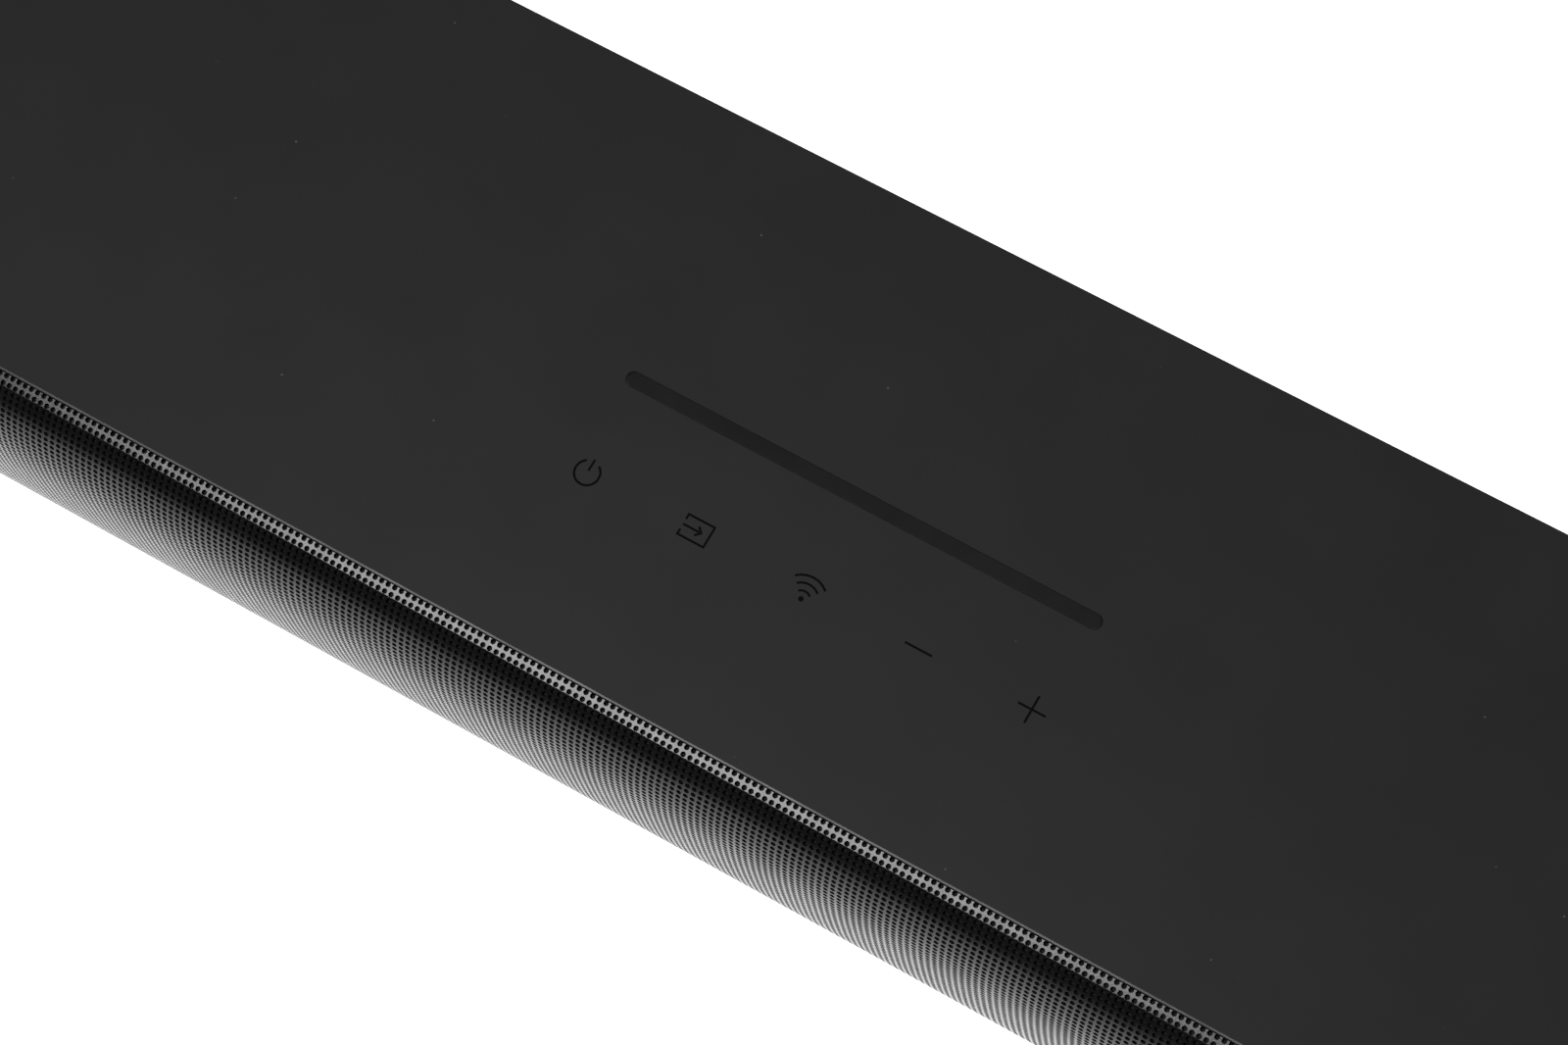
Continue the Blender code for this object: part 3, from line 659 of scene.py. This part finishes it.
def make_top_panel():
    """The touch panel: a narrow polished facet runs round its rim, and the window's slot is cut sharp; the
    facet and the breaks get a lighter colour, a painted highlight.
    """
    top = TOP_Z - PRINT
    facet_end = top - EDGE_FACET[1]
    profile = (
        (EDGE_FACET[0] + EDGE_SOFT, top),
        (EDGE_SOFT, facet_end),
        (0, facet_end - EDGE_SOFT),
        (0, PANEL_LOW_Z + EDGE_SOFT),
        (EDGE_SOFT, PANEL_LOW_Z),
    )
    outer = rounded(PANEL_LOW, PANEL_HIGH, CORNER_RADIUS)
    slot = rounded(SLOT_LOW, SLOT_HIGH, (SLOT_HIGH.y - SLOT_LOW.y) / 2)
    slot_profile = ((SLOT_BREAK, top), (0, top - SLOT_BREAK), (0, PANEL_LOW_Z))
    mesh = plate("top_panel_shell", outer, profile, [slot], slot_profile)
    shown("top_panel_shell", mesh, "panel_plastic", "top_panel", angle=5)
    # the facet's and breaks' faces get the lighter material: a painted highlight
    mesh.materials.append(facet_with_painted_highlight())
    for face in mesh.polygons:
        face.material_index = int(PAINTED_HIGHLIGHT_TILT[0] < face.normal.z < PAINTED_HIGHLIGHT_TILT[1])


def make_lens():
    """The window, which lies just under the level of the panel's face."""
    low = SLOT_LOW + Vector((LENS_PLAY, LENS_PLAY, 0))
    high = SLOT_HIGH - Vector((LENS_PLAY, LENS_PLAY, 0))
    outer = rounded(low, high, (high.y - low.y) / 2)
    profile = round_edge(SLOT_BREAK, TOP_Z - PRINT - LENS_SINK, LENS_LOW.z, 3)
    mesh = plate("display_window", outer, profile)
    shown("display_window", mesh, "smoked_lens", "display_lens")


def make_rear_cover():
    """The back: a plain moulding round the connector bay, the two ports and the two keyholes."""
    outer = rounded((COVER_LOW.x, COVER_LOW.z), (COVER_HIGH.x, COVER_HIGH.z), COVER_CORNER, 3)
    bay = rounded((BAY_LOW.x, BAY_LOW.z), (BAY_HIGH.x, BAY_HIGH.z), BAY_CORNER, 6)
    holes = [bay]
    for side in ("left", "right"):
        low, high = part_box(f"port_tube_{side}")
        middle = (low + high) / 2
        holes.append(circle((middle.x, middle.z), (high.z - low.z) / 2 + PORT_PLAY))
    for x in (-KEYHOLE_X, KEYHOLE_X):
        holes.append(keyhole((x, MID_Z), KEYHOLE_ENTRY, KEYHOLE_SLOT / 2, KEYHOLE_RISE))
    profile = round_edge(COVER_ROUNDING, COVER_HIGH.y, COVER_LOW.y)
    hole_profile = round_edge(OPENING_ROUNDING, COVER_HIGH.y, COVER_LOW.y, 3)
    mesh = plate("rear_cover_shell", outer, profile, holes, hole_profile, "rear")
    shown("rear_cover_shell", mesh, "case_plastic", "rear_cover")


def make_ports():
    """Port tubes that flare out to a flange with a soft rim, rounder than the CAD ones."""
    for side in ("left", "right"):
        low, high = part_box(f"port_tube_{side}")
        middle = (low + high) / 2
        flange = (high.z - low.z) / 2
        depth = high.y - low.y
        widening = flange - PORT_THROAT - PORT_WALL
        flare = [
            (PORT_THROAT + widening * (1 - math.cos(angle)), -PORT_FLARE * (1 - math.sin(angle)))
            for angle in (math.pi / 2 * step / 12 for step in range(13))
        ]
        inside = [(PORT_THROAT, -depth)] + flare
        rim = [(flange - FLANGE_SOFT, 0.0), (flange, -FLANGE_SOFT), (flange, -FLANGE)]
        neck = [(flange - FLANGE_FOOT[0], -FLANGE_FOOT[1]), (PORT_THROAT + PORT_NECK[0], -PORT_NECK[1])]
        outside = neck + [(PORT_THROAT + PORT_WALL, -depth)]
        place = (middle.x, high.y, middle.z)
        mesh = turned(f"port_{side}", inside + rim + outside, place, "rear")
        shown(f"port_{side}", mesh, "case_plastic", f"port_tube_{side}")


def make_end_caps():
    """The two end mouldings, which follow the grille's section and have softly rounded rims."""
    section = Section()
    y, z, _, _ = section.at(np.linspace(0, section.length, CAP_POINTS))
    tip = EDGE_Y - GAP
    front = [(float(a), float(b)) for a, b in zip(y, z)]
    outline = [(tip, COVER_LOW.z), (BACK_Y, COVER_LOW.z), (BACK_Y, COVER_HIGH.z), (tip, COVER_HIGH.z)]
    outline += [(tip, GRILLE_HIGH.z)] + front + [(tip, GRILLE_LOW.z)]
    for side, sign in (("left", -1), ("right", 1)):
        profile = [
            (back, sign * height) for back, height in round_edge(CAP_ROUNDING, CAP_HIGH.x, CAP_LOW.x, 5)
        ]
        mesh = plate(f"end_moulding_{side}", polygon(outline), profile, facing="side")
        shown(f"end_moulding_{side}", mesh, "case_plastic", f"end_cap_{side}")


def make_feet():
    """Rubber pads with a rounded sole."""
    for number in range(1, 5):
        low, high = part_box(f"foot_{number}")
        outer = rounded(low, high, (high.y - low.y) / 2 - FOOT_STRAIGHT, 10)
        profile = turned_over(round_edge(SOLE_ROUNDING, high.z, low.z), low.z, high.z)
        mesh = plate(f"rubber_foot_{number}", outer, profile)
        shown(f"rubber_foot_{number}", mesh, "rubber", f"foot_{number}")


def make_screws():
    """Pan-head screws with a round socket, seated in the tray with their heads down."""
    for number in range(1, 5):
        low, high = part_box(f"case_screw_{number}")
        middle = (low + high) / 2
        head = (high.x - low.x) / 2
        face = low.z
        shank = [(0, high.z), (SHANK_TIP, high.z), (SHANK, high.z - SHANK_TAPER), (SHANK, face + HEAD_SEAT)]
        rim = [(head, face + HEAD_HIGH), (head, face + HEAD_LOW), (head * HEAD_NARROW, face + HEAD_BEVEL)]
        socket = [(head * HEAD_FLAT, face), (SOCKET, face), (SOCKET_FLOOR, face + SOCKET_DEPTH)]
        profile = shank + rim + socket + [(0, face + SOCKET_POINT)]
        mesh = turned(f"screw_{number}", profile, (middle.x, middle.y, 0), "top", 32)
        shown(f"screw_{number}", mesh, "plated_steel", f"case_screw_{number}")


def block(name, low, high, slot_name, rounding, finish=None):
    """A small bar with rounded edges between two corners."""
    outer = rounded(low, high, rounding * 1.5, 2)
    edge = round_edge(rounding, high[2], low[2], 2)[:-1]
    profile = edge + turned_over(edge, low[2], high[2])[::-1]
    shown(name, plate(name, outer, profile), slot_name, finish=finish)


def make_contacts():
    """Inside the two metal sockets: a tongue, with gold contacts along its lower face."""
    for kind, (wide, thick, contacts, raised) in TONGUES.items():
        low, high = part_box(f"{kind}_socket")
        middle = (low + high) / 2
        inner, tip = low.y + TONGUE_FOOT, high.y - TONGUE_SHORT
        z = middle.z + raised
        left, right = middle.x - wide / 2, middle.x + wide / 2
        under = z - thick / 2
        corners = ((left, inner, under), (right, tip, z + thick / 2))
        block(f"{kind}_tongue", *corners, "moulded_black", TONGUE_ROUNDING)
        pitch = wide / contacts
        for number in range(contacts):
            x = left + (number + 0.5) * pitch
            start = (x - pitch * CONTACT_SHARE, inner, under - CONTACT_THICK)
            end = (x + pitch * CONTACT_SHARE, tip - CONTACT_SHORT, under)
            name = f"{kind}_contact_{number + 1}"
            block(name, start, end, "plated_steel", CONTACT_ROUNDING, GOLD)


def make_inlet_pins():
    """The two pins of the mains inlet."""
    low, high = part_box("mains_inlet")
    middle = (low + high) / 2
    nose, shoulder, foot = PIN_DEPTHS
    profile = ((0, -nose), (PIN_NOSE, -nose), (PIN_RADIUS, -shoulder), (PIN_RADIUS, -foot), (0, -foot))
    for name, side in (("a", -1), ("b", 1)):
        place = (middle.x + side * PIN_APART / 2, high.y, middle.z)
        mesh = turned(f"inlet_pin_{name}", profile, place, "rear", 24)
        shown(f"inlet_pin_{name}", mesh, "plated_steel")


# ---------------------------------------------------------------- printed symbols


def stroke(path):
    """The two sides of a line along a path, with square ends."""
    path = [Vector(point) for point in path]
    runs = [(after - before).normalized() for before, after in zip(path, path[1:])]
    left, right = [], []
    for point, arrive, leave in zip(path, runs[:1] + runs, runs + runs[-1:]):
        across = Vector((-arrive.y - leave.y, arrive.x + leave.x)).normalized()
        reach = LINE / 2 / across.dot(Vector((-arrive.y, arrive.x)))
        left.append(point + across * reach)
        right.append(point - across * reach)
    return left, right


def prism_faces(shape, rings):
    """Sides between the rings of a closed body, one after another, and a cap on its first and last."""
    for ring, after in zip(rings, rings[1:]):
        for number, corner in enumerate(ring):
            shape.faces.new((ring[number - 1], corner, after[number], after[number - 1]))
    shape.faces.new(rings[0])
    shape.faces.new(rings[-1])


def print_symbol(name, key, paths, dots=()):
    """Ink of the symbol for a key, counted from the middle one: lines along paths, and round dots."""
    shape = bmesh.new()
    centre = Vector((key * KEY_PITCH, KEY_Y))
    low, high = TOP_Z - PRINT, TOP_Z

    def corner(point, z):
        return shape.verts.new((*(centre + Vector(point)), z))

    for path in paths:
        rings = [
            (corner(left, low), corner(right, low), corner(right, high), corner(left, high))
            for left, right in zip(*stroke(path))
        ]
        prism_faces(shape, rings)
    for middle, radius in dots:
        ring = circle(middle, radius, 24)(0)
        prism_faces(shape, [[corner(point, z) for point in ring] for z in (low, high)])
    bmesh.ops.recalc_face_normals(shape, faces=shape.faces)
    attach(mesh_object(name, mesh_from(name, shape), INK), ROOT, "panel_plastic")


def power_symbol():
    """A ring that is open at the top, with a bar in its opening."""
    radius, opening = 0.0023, 32
    ring = arc((0, 0), radius, 90 + opening, 450 - opening, 40)
    bar = [(0, 0.0027), (0, 0.0004)]
    print_symbol("symbol_power", -2, [ring, bar])


def source_symbol():
    """An arrow into a frame that is open on the left."""
    right, top, stub = 0.0026, 0.0020, 0.0010
    tip, head = 0.0010, 0.0009
    box = [(-right, stub), (-right, top), (right, top), (right, -top), (-right, -top), (-right, -stub)]
    shaft = [(-right, 0), (tip - LINE, 0)]
    point = [(tip - head, head), (tip, 0), (tip - head, -head)]
    print_symbol("symbol_source", -1, [box, shaft, point])


def wireless_symbol():
    """Three arcs that fan out over a dot."""
    foot, half_fan = -0.0021, 42
    arcs = [
        arc((0, foot), radius, 90 - half_fan, 90 + half_fan, 14) for radius in (0.0017, 0.0031, 0.0045)
    ]
    print_symbol("symbol_wireless", 0, arcs, [((0, foot + 0.0002), 0.00048)])


def minus_and_plus():
    """A bar, and a bar crossed by two shorter ones that meet it without overlapping."""
    arm = 0.00265
    across = [(-arm, 0), (arm, 0)]
    above = [(0, LINE / 2), (0, arm)]
    below = [(0, -LINE / 2), (0, -arm)]
    print_symbol("symbol_minus", 1, [across])
    print_symbol("symbol_plus", 2, [across, above, below])


# ---------------------------------------------------------------- perforated grille


def flank_slope(arc_length):
    """How steeply the flank falls at this distance along it from the fold."""
    last = math.exp(-FLANK_ARC / FLANK_FADE)
    fade = (np.exp(-arc_length / FLANK_FADE) - last) / (1 - last)
    return math.pi / 2 - (math.pi / 2 - FLANK_START) * fade


class Section:
    """The outer line of the sheet: place and slope at a distance from the upper fold, mirrored below."""

    def __init__(self):
        step = FLANK_ARC / FLANK_STEPS
        middles = (np.arange(FLANK_STEPS) + 0.5) * step
        slopes = flank_slope(middles)
        forward = LAND + np.concatenate([[0], np.cumsum(step * np.cos(slopes))])
        down = LAND * math.tan(LAND_SLOPE) + np.concatenate([[0], np.cumsum(step * np.sin(slopes))])
        self.forward = forward * BULGE / forward[-1]
        self.down = down * HALF_DROP / down[-1]
        moves = np.hypot(np.diff(self.forward), np.diff(self.down))
        self.along = np.concatenate([[0], np.cumsum(moves)])
        self.slope = flank_slope(np.arange(FLANK_STEPS + 1) * step)
        self.slope[0] = (LAND_SLOPE + FLANK_START) / 2
        self.length = 2 * self.along[-1]

    def at(self, distance):
        """(y, z, y of the outward normal, z of it) at distances from the upper fold."""
        low = distance > self.length / 2
        near = np.where(low, self.length - distance, distance)
        land = np.minimum(near, 0)
        inside = np.maximum(near, 0)
        forward = np.interp(inside, self.along, self.forward) + land * math.cos(LAND_SLOPE)
        down = np.interp(inside, self.along, self.down) + land * math.sin(LAND_SLOPE)
        slope = np.where(near < -ON_FOLD, LAND_SLOPE, np.interp(inside, self.along, self.slope))
        side = np.where(low, -1, 1)
        z = MID_Z + side * (HALF_DROP - down)
        return EDGE_Y - forward, z, -np.sin(slope), side * np.cos(slope)


class Sheet:
    """Collects the points and faces of one closed stretch of perforated sheet.

    A point is (along the bar, down the section). Each has a twin on the inner face, so a face given by
    its outer points also makes the inner one, and an edge of the sheet makes a wall between the two.
    """

    def __init__(self, section):
        self.section = section
        self.points = []
        self.faces = []
        self.walls = []
        self.count = 0

    def add(self, across, down):
        """Adds points from two arrays of one shape and returns their numbers in that shape."""
        across, down = np.broadcast_arrays(across, down)
        numbers = self.count + np.arange(across.size).reshape(across.shape)
        self.points.append(np.stack([across.ravel(), down.ravel()], axis=1))
        self.count += across.size
        return numbers

    def face(self, *corners):
        """Faces from arrays of point numbers, counter-clockwise seen from the front of the bar."""
        self.faces.append(np.stack([np.ravel(corner) for corner in corners], axis=1))

    def wall(self, start, end):
        """Walls through the sheet, under the edges that run from start to end."""
        self.walls.append(np.stack([np.ravel(start), np.ravel(end)], axis=1))

    def mesh(self, name):
        """Both faces of the sheet and the walls between them, as one closed mesh."""
        flat = np.concatenate(self.points)
        y, z, normal_y, normal_z = self.section.at(flat[:, 1])
        outer = np.stack([flat[:, 0], y, z], axis=1)
        inward = np.stack([np.zeros(len(y)), normal_y, normal_z], axis=1) * SHEET
        inner = outer - inward
        total = self.count
        walls = np.concatenate(self.walls)
        quads = np.stack([walls[:, 0], walls[:, 0] + total, walls[:, 1] + total, walls[:, 1]], axis=1)
        groups = self.faces + [face[:, ::-1] + total for face in self.faces] + [quads]
        sizes = np.concatenate([np.full(len(group), group.shape[1]) for group in groups])
        loops = np.concatenate([group.ravel() for group in groups]).astype(np.int32)
        starts = np.concatenate([[0], np.cumsum(sizes)[:-1]]).astype(np.int32)
        mesh = bpy.data.meshes.new(name)
        mesh.vertices.add(2 * total)
        mesh.vertices.foreach_set("co", np.concatenate([outer, inner]).ravel().astype(np.float32))
        mesh.loops.add(len(loops))
        mesh.loops.foreach_set("vertex_index", loops)
        mesh.polygons.add(len(sizes))
        mesh.polygons.foreach_set("loop_start", starts)
        mesh.update(calc_edges=True)
        mesh.validate()
        self.shade(mesh, total)
        self.unwrap(mesh, flat)
        return mesh

    def shade(self, mesh, total):
        """Smooth along the sheet and round each hole, with the folds and the holes' rims sharp."""
        mesh.shade_smooth()
        mesh.set_sharp_from_angle(angle=SHARP_FOLD)
        ends = np.zeros(2 * len(mesh.edges), np.int32)
        mesh.edges.foreach_get("vertices", ends)
        through = (ends[0::2] < total) != (ends[1::2] < total)
        sharp = mesh.attributes["sharp_edge"]
        flags = np.zeros(len(mesh.edges), bool)
        sharp.data.foreach_get("value", flags)
        flags[through] = False
        sharp.data.foreach_set("value", flags)

    def unwrap(self, mesh, flat):
        """Lays the outer face out flat over most of the map, and the inner one over the rest of it."""
        low, high = flat.min(axis=0), flat.max(axis=0)
        spot = (flat - low) / (high - low)
        outer = spot * OUTER_ON_MAP[0] + OUTER_ON_MAP[1]
        inner = spot * INNER_ON_MAP[0] + INNER_ON_MAP[1]
        corners = np.zeros(len(mesh.loops), np.int32)
        mesh.loops.foreach_get("vertex_index", corners)
        layer = mesh.uv_layers.new(name=UNWRAPPED)
        layer.data.foreach_set("uv", np.concatenate([outer, inner])[corners].ravel())


def cell_faces(sheet, corners, hole):
    """Faces between every hole and its square cell, but for those that a fold crosses."""
    top_left, top_right, low_right, low_left = corners
    right, low_r, low, low_l, left, up_l, up, up_r = hole
    plain, upper, lower = slice(1, -1), slice(0, -1), slice(1, None)
    sheet.face(top_left, up, top_right)
    sheet.face(low_right, low, low_left)
    sheet.face(top_right[upper], up[upper], up_r[upper], right[upper])
    sheet.face(top_left[upper], left[upper], up_l[upper], up[upper])
    sheet.face(low_left[lower], low[lower], low_l[lower], left[lower])
    sheet.face(low_right[lower], right[lower], low_r[lower], low[lower])
    sheet.face(top_right[plain], right[plain], low_right[plain])
    sheet.face(low_left[plain], left[plain], top_left[plain])


def folded_cell_faces(sheet, corners, hole, fold, row):
    """The other faces of the first or last row of cells, which meet in a fold beside each hole."""
    top_left, top_right, low_right, low_left = (corner[row] for corner in corners)
    right, low_r, low, low_l, left, up_l, up, up_r = (point[row] for point in hole)
    fold_left, fold_right = fold[:-1], fold[1:]
    if row == 0:
        sheet.face(top_right, right, fold_right)
        sheet.face(fold_right, right, low_r, low)
        sheet.face(fold_right, low, low_right)
        sheet.face(low_left, low, fold_left)
        sheet.face(fold_left, low, low_l, left)
        sheet.face(fold_left, left, top_left)
    else:
        sheet.face(fold_right, right, low_right)
        sheet.face(fold_right, up, up_r, right)
        sheet.face(top_right, up, fold_right)
        sheet.face(fold_left, up, top_left)
        sheet.face(fold_left, left, up_l, up)
        sheet.face(low_left, left, fold_left)


def notch_row(sheet, columns, bounds_x, border, middle, side):
    """The outermost row of holes, which the edge of the sheet cuts off behind their middles."""
    reach = (LAND - EDGE_CLEARANCE) / math.cos(LAND_SLOPE)
    edge_v = -reach if side < 0 else sheet.section.length + reach
    half = math.sqrt(HOLE_RADIUS**2 - (edge_v - middle) ** 2)
    edge = sheet.add(bounds_x, edge_v)
    angles = np.radians([0, 45, 90, 135, 180])
    offsets = [(half, edge_v - middle)]
    offsets += [(HOLE_RADIUS * math.cos(a), -side * HOLE_RADIUS * math.sin(a)) for a in angles]
    offsets.append((-half, edge_v - middle))
    notch = [sheet.add(columns + dx, middle + dv) for dx, dv in offsets]
    loop = [edge[1:], *notch, edge[:-1], border[:-1], border[1:]]
    rim = loop[: len(notch) + 2]
    sheet.face(*(loop if side < 0 else loop[::-1]))
    for start, end in zip(rim, rim[1:]):
        sheet.wall(*((end, start) if side < 0 else (start, end)))
    return edge


def perforated_sheet(name, section, columns, bounds_x):
    """A stretch of grille with a hole at each of the columns, in cells with these bounds along the bar."""
    sheet = Sheet(section)
    span = section.length + 2 * FOLD_BELOW_ROW
    rows = round(span / HOLE_PITCH) + 1
    pitch = span / (rows - 1)
    middles = np.arange(rows) * pitch - FOLD_BELOW_ROW
    bounds_v = np.append(middles - pitch / 2, middles[-1] + pitch / 2)
    grid = sheet.add(bounds_x[None, :], bounds_v[:, None])
    angles = np.arange(HOLE_SIDES) * 2 * math.pi / HOLE_SIDES
    across = columns[None, :, None] + HOLE_RADIUS * np.cos(angles)
    rings = sheet.add(across, middles[:, None, None] + HOLE_RADIUS * np.sin(angles))
    corners = (grid[:-1, :-1], grid[:-1, 1:], grid[1:, 1:], grid[1:, :-1])
    hole = [rings[:, :, point] for point in range(HOLE_SIDES)]
    cell_faces(sheet, corners, hole)
    folds = [sheet.add(bounds_x, at) for at in (0.0, section.length)]
    for fold, row in zip(folds, (0, -1)):
        folded_cell_faces(sheet, corners, hole, fold, row)
    for start, end in zip(hole[1:] + hole[:1], hole):
        sheet.wall(start, end)
    top = notch_row(sheet, columns, bounds_x, grid[0], middles[0] - pitch, -1)
    low = notch_row(sheet, columns, bounds_x, grid[-1], middles[-1] + pitch, 1)
    for side in (0, -1):
        border = grid[:, side]
        edge = [top[side], border[0], folds[0][side], *border[1:-1], folds[1][side], border[-1], low[side]]
        edge = np.array(edge)
        sheet.wall(*((edge[:-1], edge[1:]) if side == 0 else (edge[1:], edge[:-1])))
    return sheet.mesh(name)


def make_grille():
    """The whole grille, in stretches of nearly equal length, with plain margins at the bar's ends."""
    section = Section()
    numbers = np.arange(-COLUMNS_EACH_SIDE, COLUMNS_EACH_SIDE + 1)
    for stretch in range(SECTIONS):
        start = stretch * len(numbers) // SECTIONS
        stop = (stretch + 1) * len(numbers) // SECTIONS
        columns = numbers[start:stop] * HOLE_PITCH
        bounds_x = np.append(columns - HOLE_PITCH / 2, columns[-1] + HOLE_PITCH / 2)
        if stretch == 0:
            bounds_x[0] = GRILLE_LOW.x
        if stretch == SECTIONS - 1:
            bounds_x[-1] = GRILLE_HIGH.x
        name = f"grille_sheet_{stretch + 1}"
        mesh = perforated_sheet(name, section, columns, bounds_x)
        sheet = mesh_object(name, mesh, FINISHES["grille_metal"])
        attach(sheet, ROOT, "grille_metal", "front_grille")


# ---------------------------------------------------------------- stage, lights and camera


def make_camera():
    """The photograph's view: from high up in front and to the right, rolled a little."""
    data = bpy.data.cameras.new("camera")
    data.lens = LENS_MM
    data.sensor_width = SENSOR_MM
    data.sensor_fit = "HORIZONTAL"
    data.clip_start = 0.01
    camera = link(bpy.data.objects.new("camera", data))
    reach = math.cos(CAMERA_ELEVATION)
    ahead, aside = math.cos(CAMERA_AZIMUTH) * reach, -math.sin(CAMERA_AZIMUTH) * reach
    forward = Vector((aside, ahead, -math.sin(CAMERA_ELEVATION)))
    level = forward.cross(Vector((0, 0, 1))).normalized()
    above = level.cross(forward)
    right = math.cos(CAMERA_ROLL) * level + math.sin(CAMERA_ROLL) * above
    up = -math.sin(CAMERA_ROLL) * level + math.cos(CAMERA_ROLL) * above
    turn = Matrix((right, up, -forward)).transposed().to_4x4()
    place = Vector((0, KEY_Y, TOP_Z)) + CAMERA_FROM_KEYS
    camera.matrix_world = Matrix.Translation(place) @ turn
    bpy.context.scene.camera = camera


def make_floor():
    """A floor lit white by painted light: its glow, brightest in an oval pool under the bar, is bright
    enough to hide the bar's shadow.
    """
    shape = bmesh.new()
    bmesh.ops.create_grid(shape, x_segments=1, y_segments=1, size=FLOOR_HALF)
    mesh = mesh_from("floor", shape)
    finish = Finish("floor_painted_glow")
    finish.mottled((0.15, 0.15, 0.15), 0.01, 0.3)
    finish.set(Roughness=0.6, Emission_Color=(1, 1, 1, 1))
    # painted light: the floor's emission, an oval pool under the bar that washes out the shadow there
    reach = finish.node("ShaderNodeVectorMath", operation="LENGTH")
    finish.join(finish.stretched(POOL_SHAPE), reach.inputs[0])
    glow = finish.spread(reach.outputs["Value"], FLOOR_GLOW, FLOOR_FAR_GLOW, *POOL_ENDS)
    finish.join(glow, finish.shader.inputs["Emission Strength"])
    mesh_object("floor", mesh, finish.material)


def make_softbox():
    """One soft light, high up in front of the bar and towards its left end."""
    data = bpy.data.lights.new("overhead_softbox", "AREA")
    data.shape = "RECTANGLE"
    data.size, data.size_y = SOFTBOX_SIZE
    data.energy = math.pi * data.size * data.size_y * SOFTBOX_RADIANCE
    light = link(bpy.data.objects.new("overhead_softbox", data))
    light.location = SOFTBOX_PLACE
    light.rotation_euler = (-SOFTBOX_PLACE).to_track_quat("-Z", "Y").to_euler()


def faded(tree, value, span):
    """A value's way from one strength to another, over a span that gives both ranges."""
    fade = tree.nodes.new("ShaderNodeMapRange")
    fade.interpolation_type = "SMOOTHSTEP"
    for name, number in zip(("From Min", "From Max", "To Min", "To Max"), span):
        fade.inputs[name].default_value = number
    tree.links.new(value, fade.inputs["Value"])
    return fade.outputs["Result"]


def make_world():
    """A pale studio round the table, which goes dark overhead and in front of the bar."""
    world = bpy.data.worlds.new("studio")
    world.use_nodes = True
    tree = world.node_tree
    background = tree.nodes["Background"]
    background.inputs["Color"].default_value = STUDIO_PALE
    place = tree.nodes.new("ShaderNodeTexCoord")
    split = tree.nodes.new("ShaderNodeSeparateXYZ")
    tree.links.new(place.outputs["Generated"], split.inputs["Vector"])
    both = tree.nodes.new("ShaderNodeMath")
    both.operation = "MULTIPLY"
    tree.links.new(faded(tree, split.outputs["Z"], DARK_OVERHEAD), both.inputs[0])
    tree.links.new(faded(tree, split.outputs["Y"], DARK_AHEAD), both.inputs[1])
    tree.links.new(both.outputs["Value"], background.inputs["Strength"])
    bpy.context.scene.world = world
    bpy.context.scene.view_settings.view_transform = "Standard"


make_camera()
make_floor()
make_softbox()
make_world()
finish_frame()
make_top_panel()
make_lens()
make_rear_cover()
make_ports()
make_end_caps()
make_feet()
make_screws()
make_contacts()
make_inlet_pins()
power_symbol()
source_symbol()
wireless_symbol()
minus_and_plus()
make_grille()
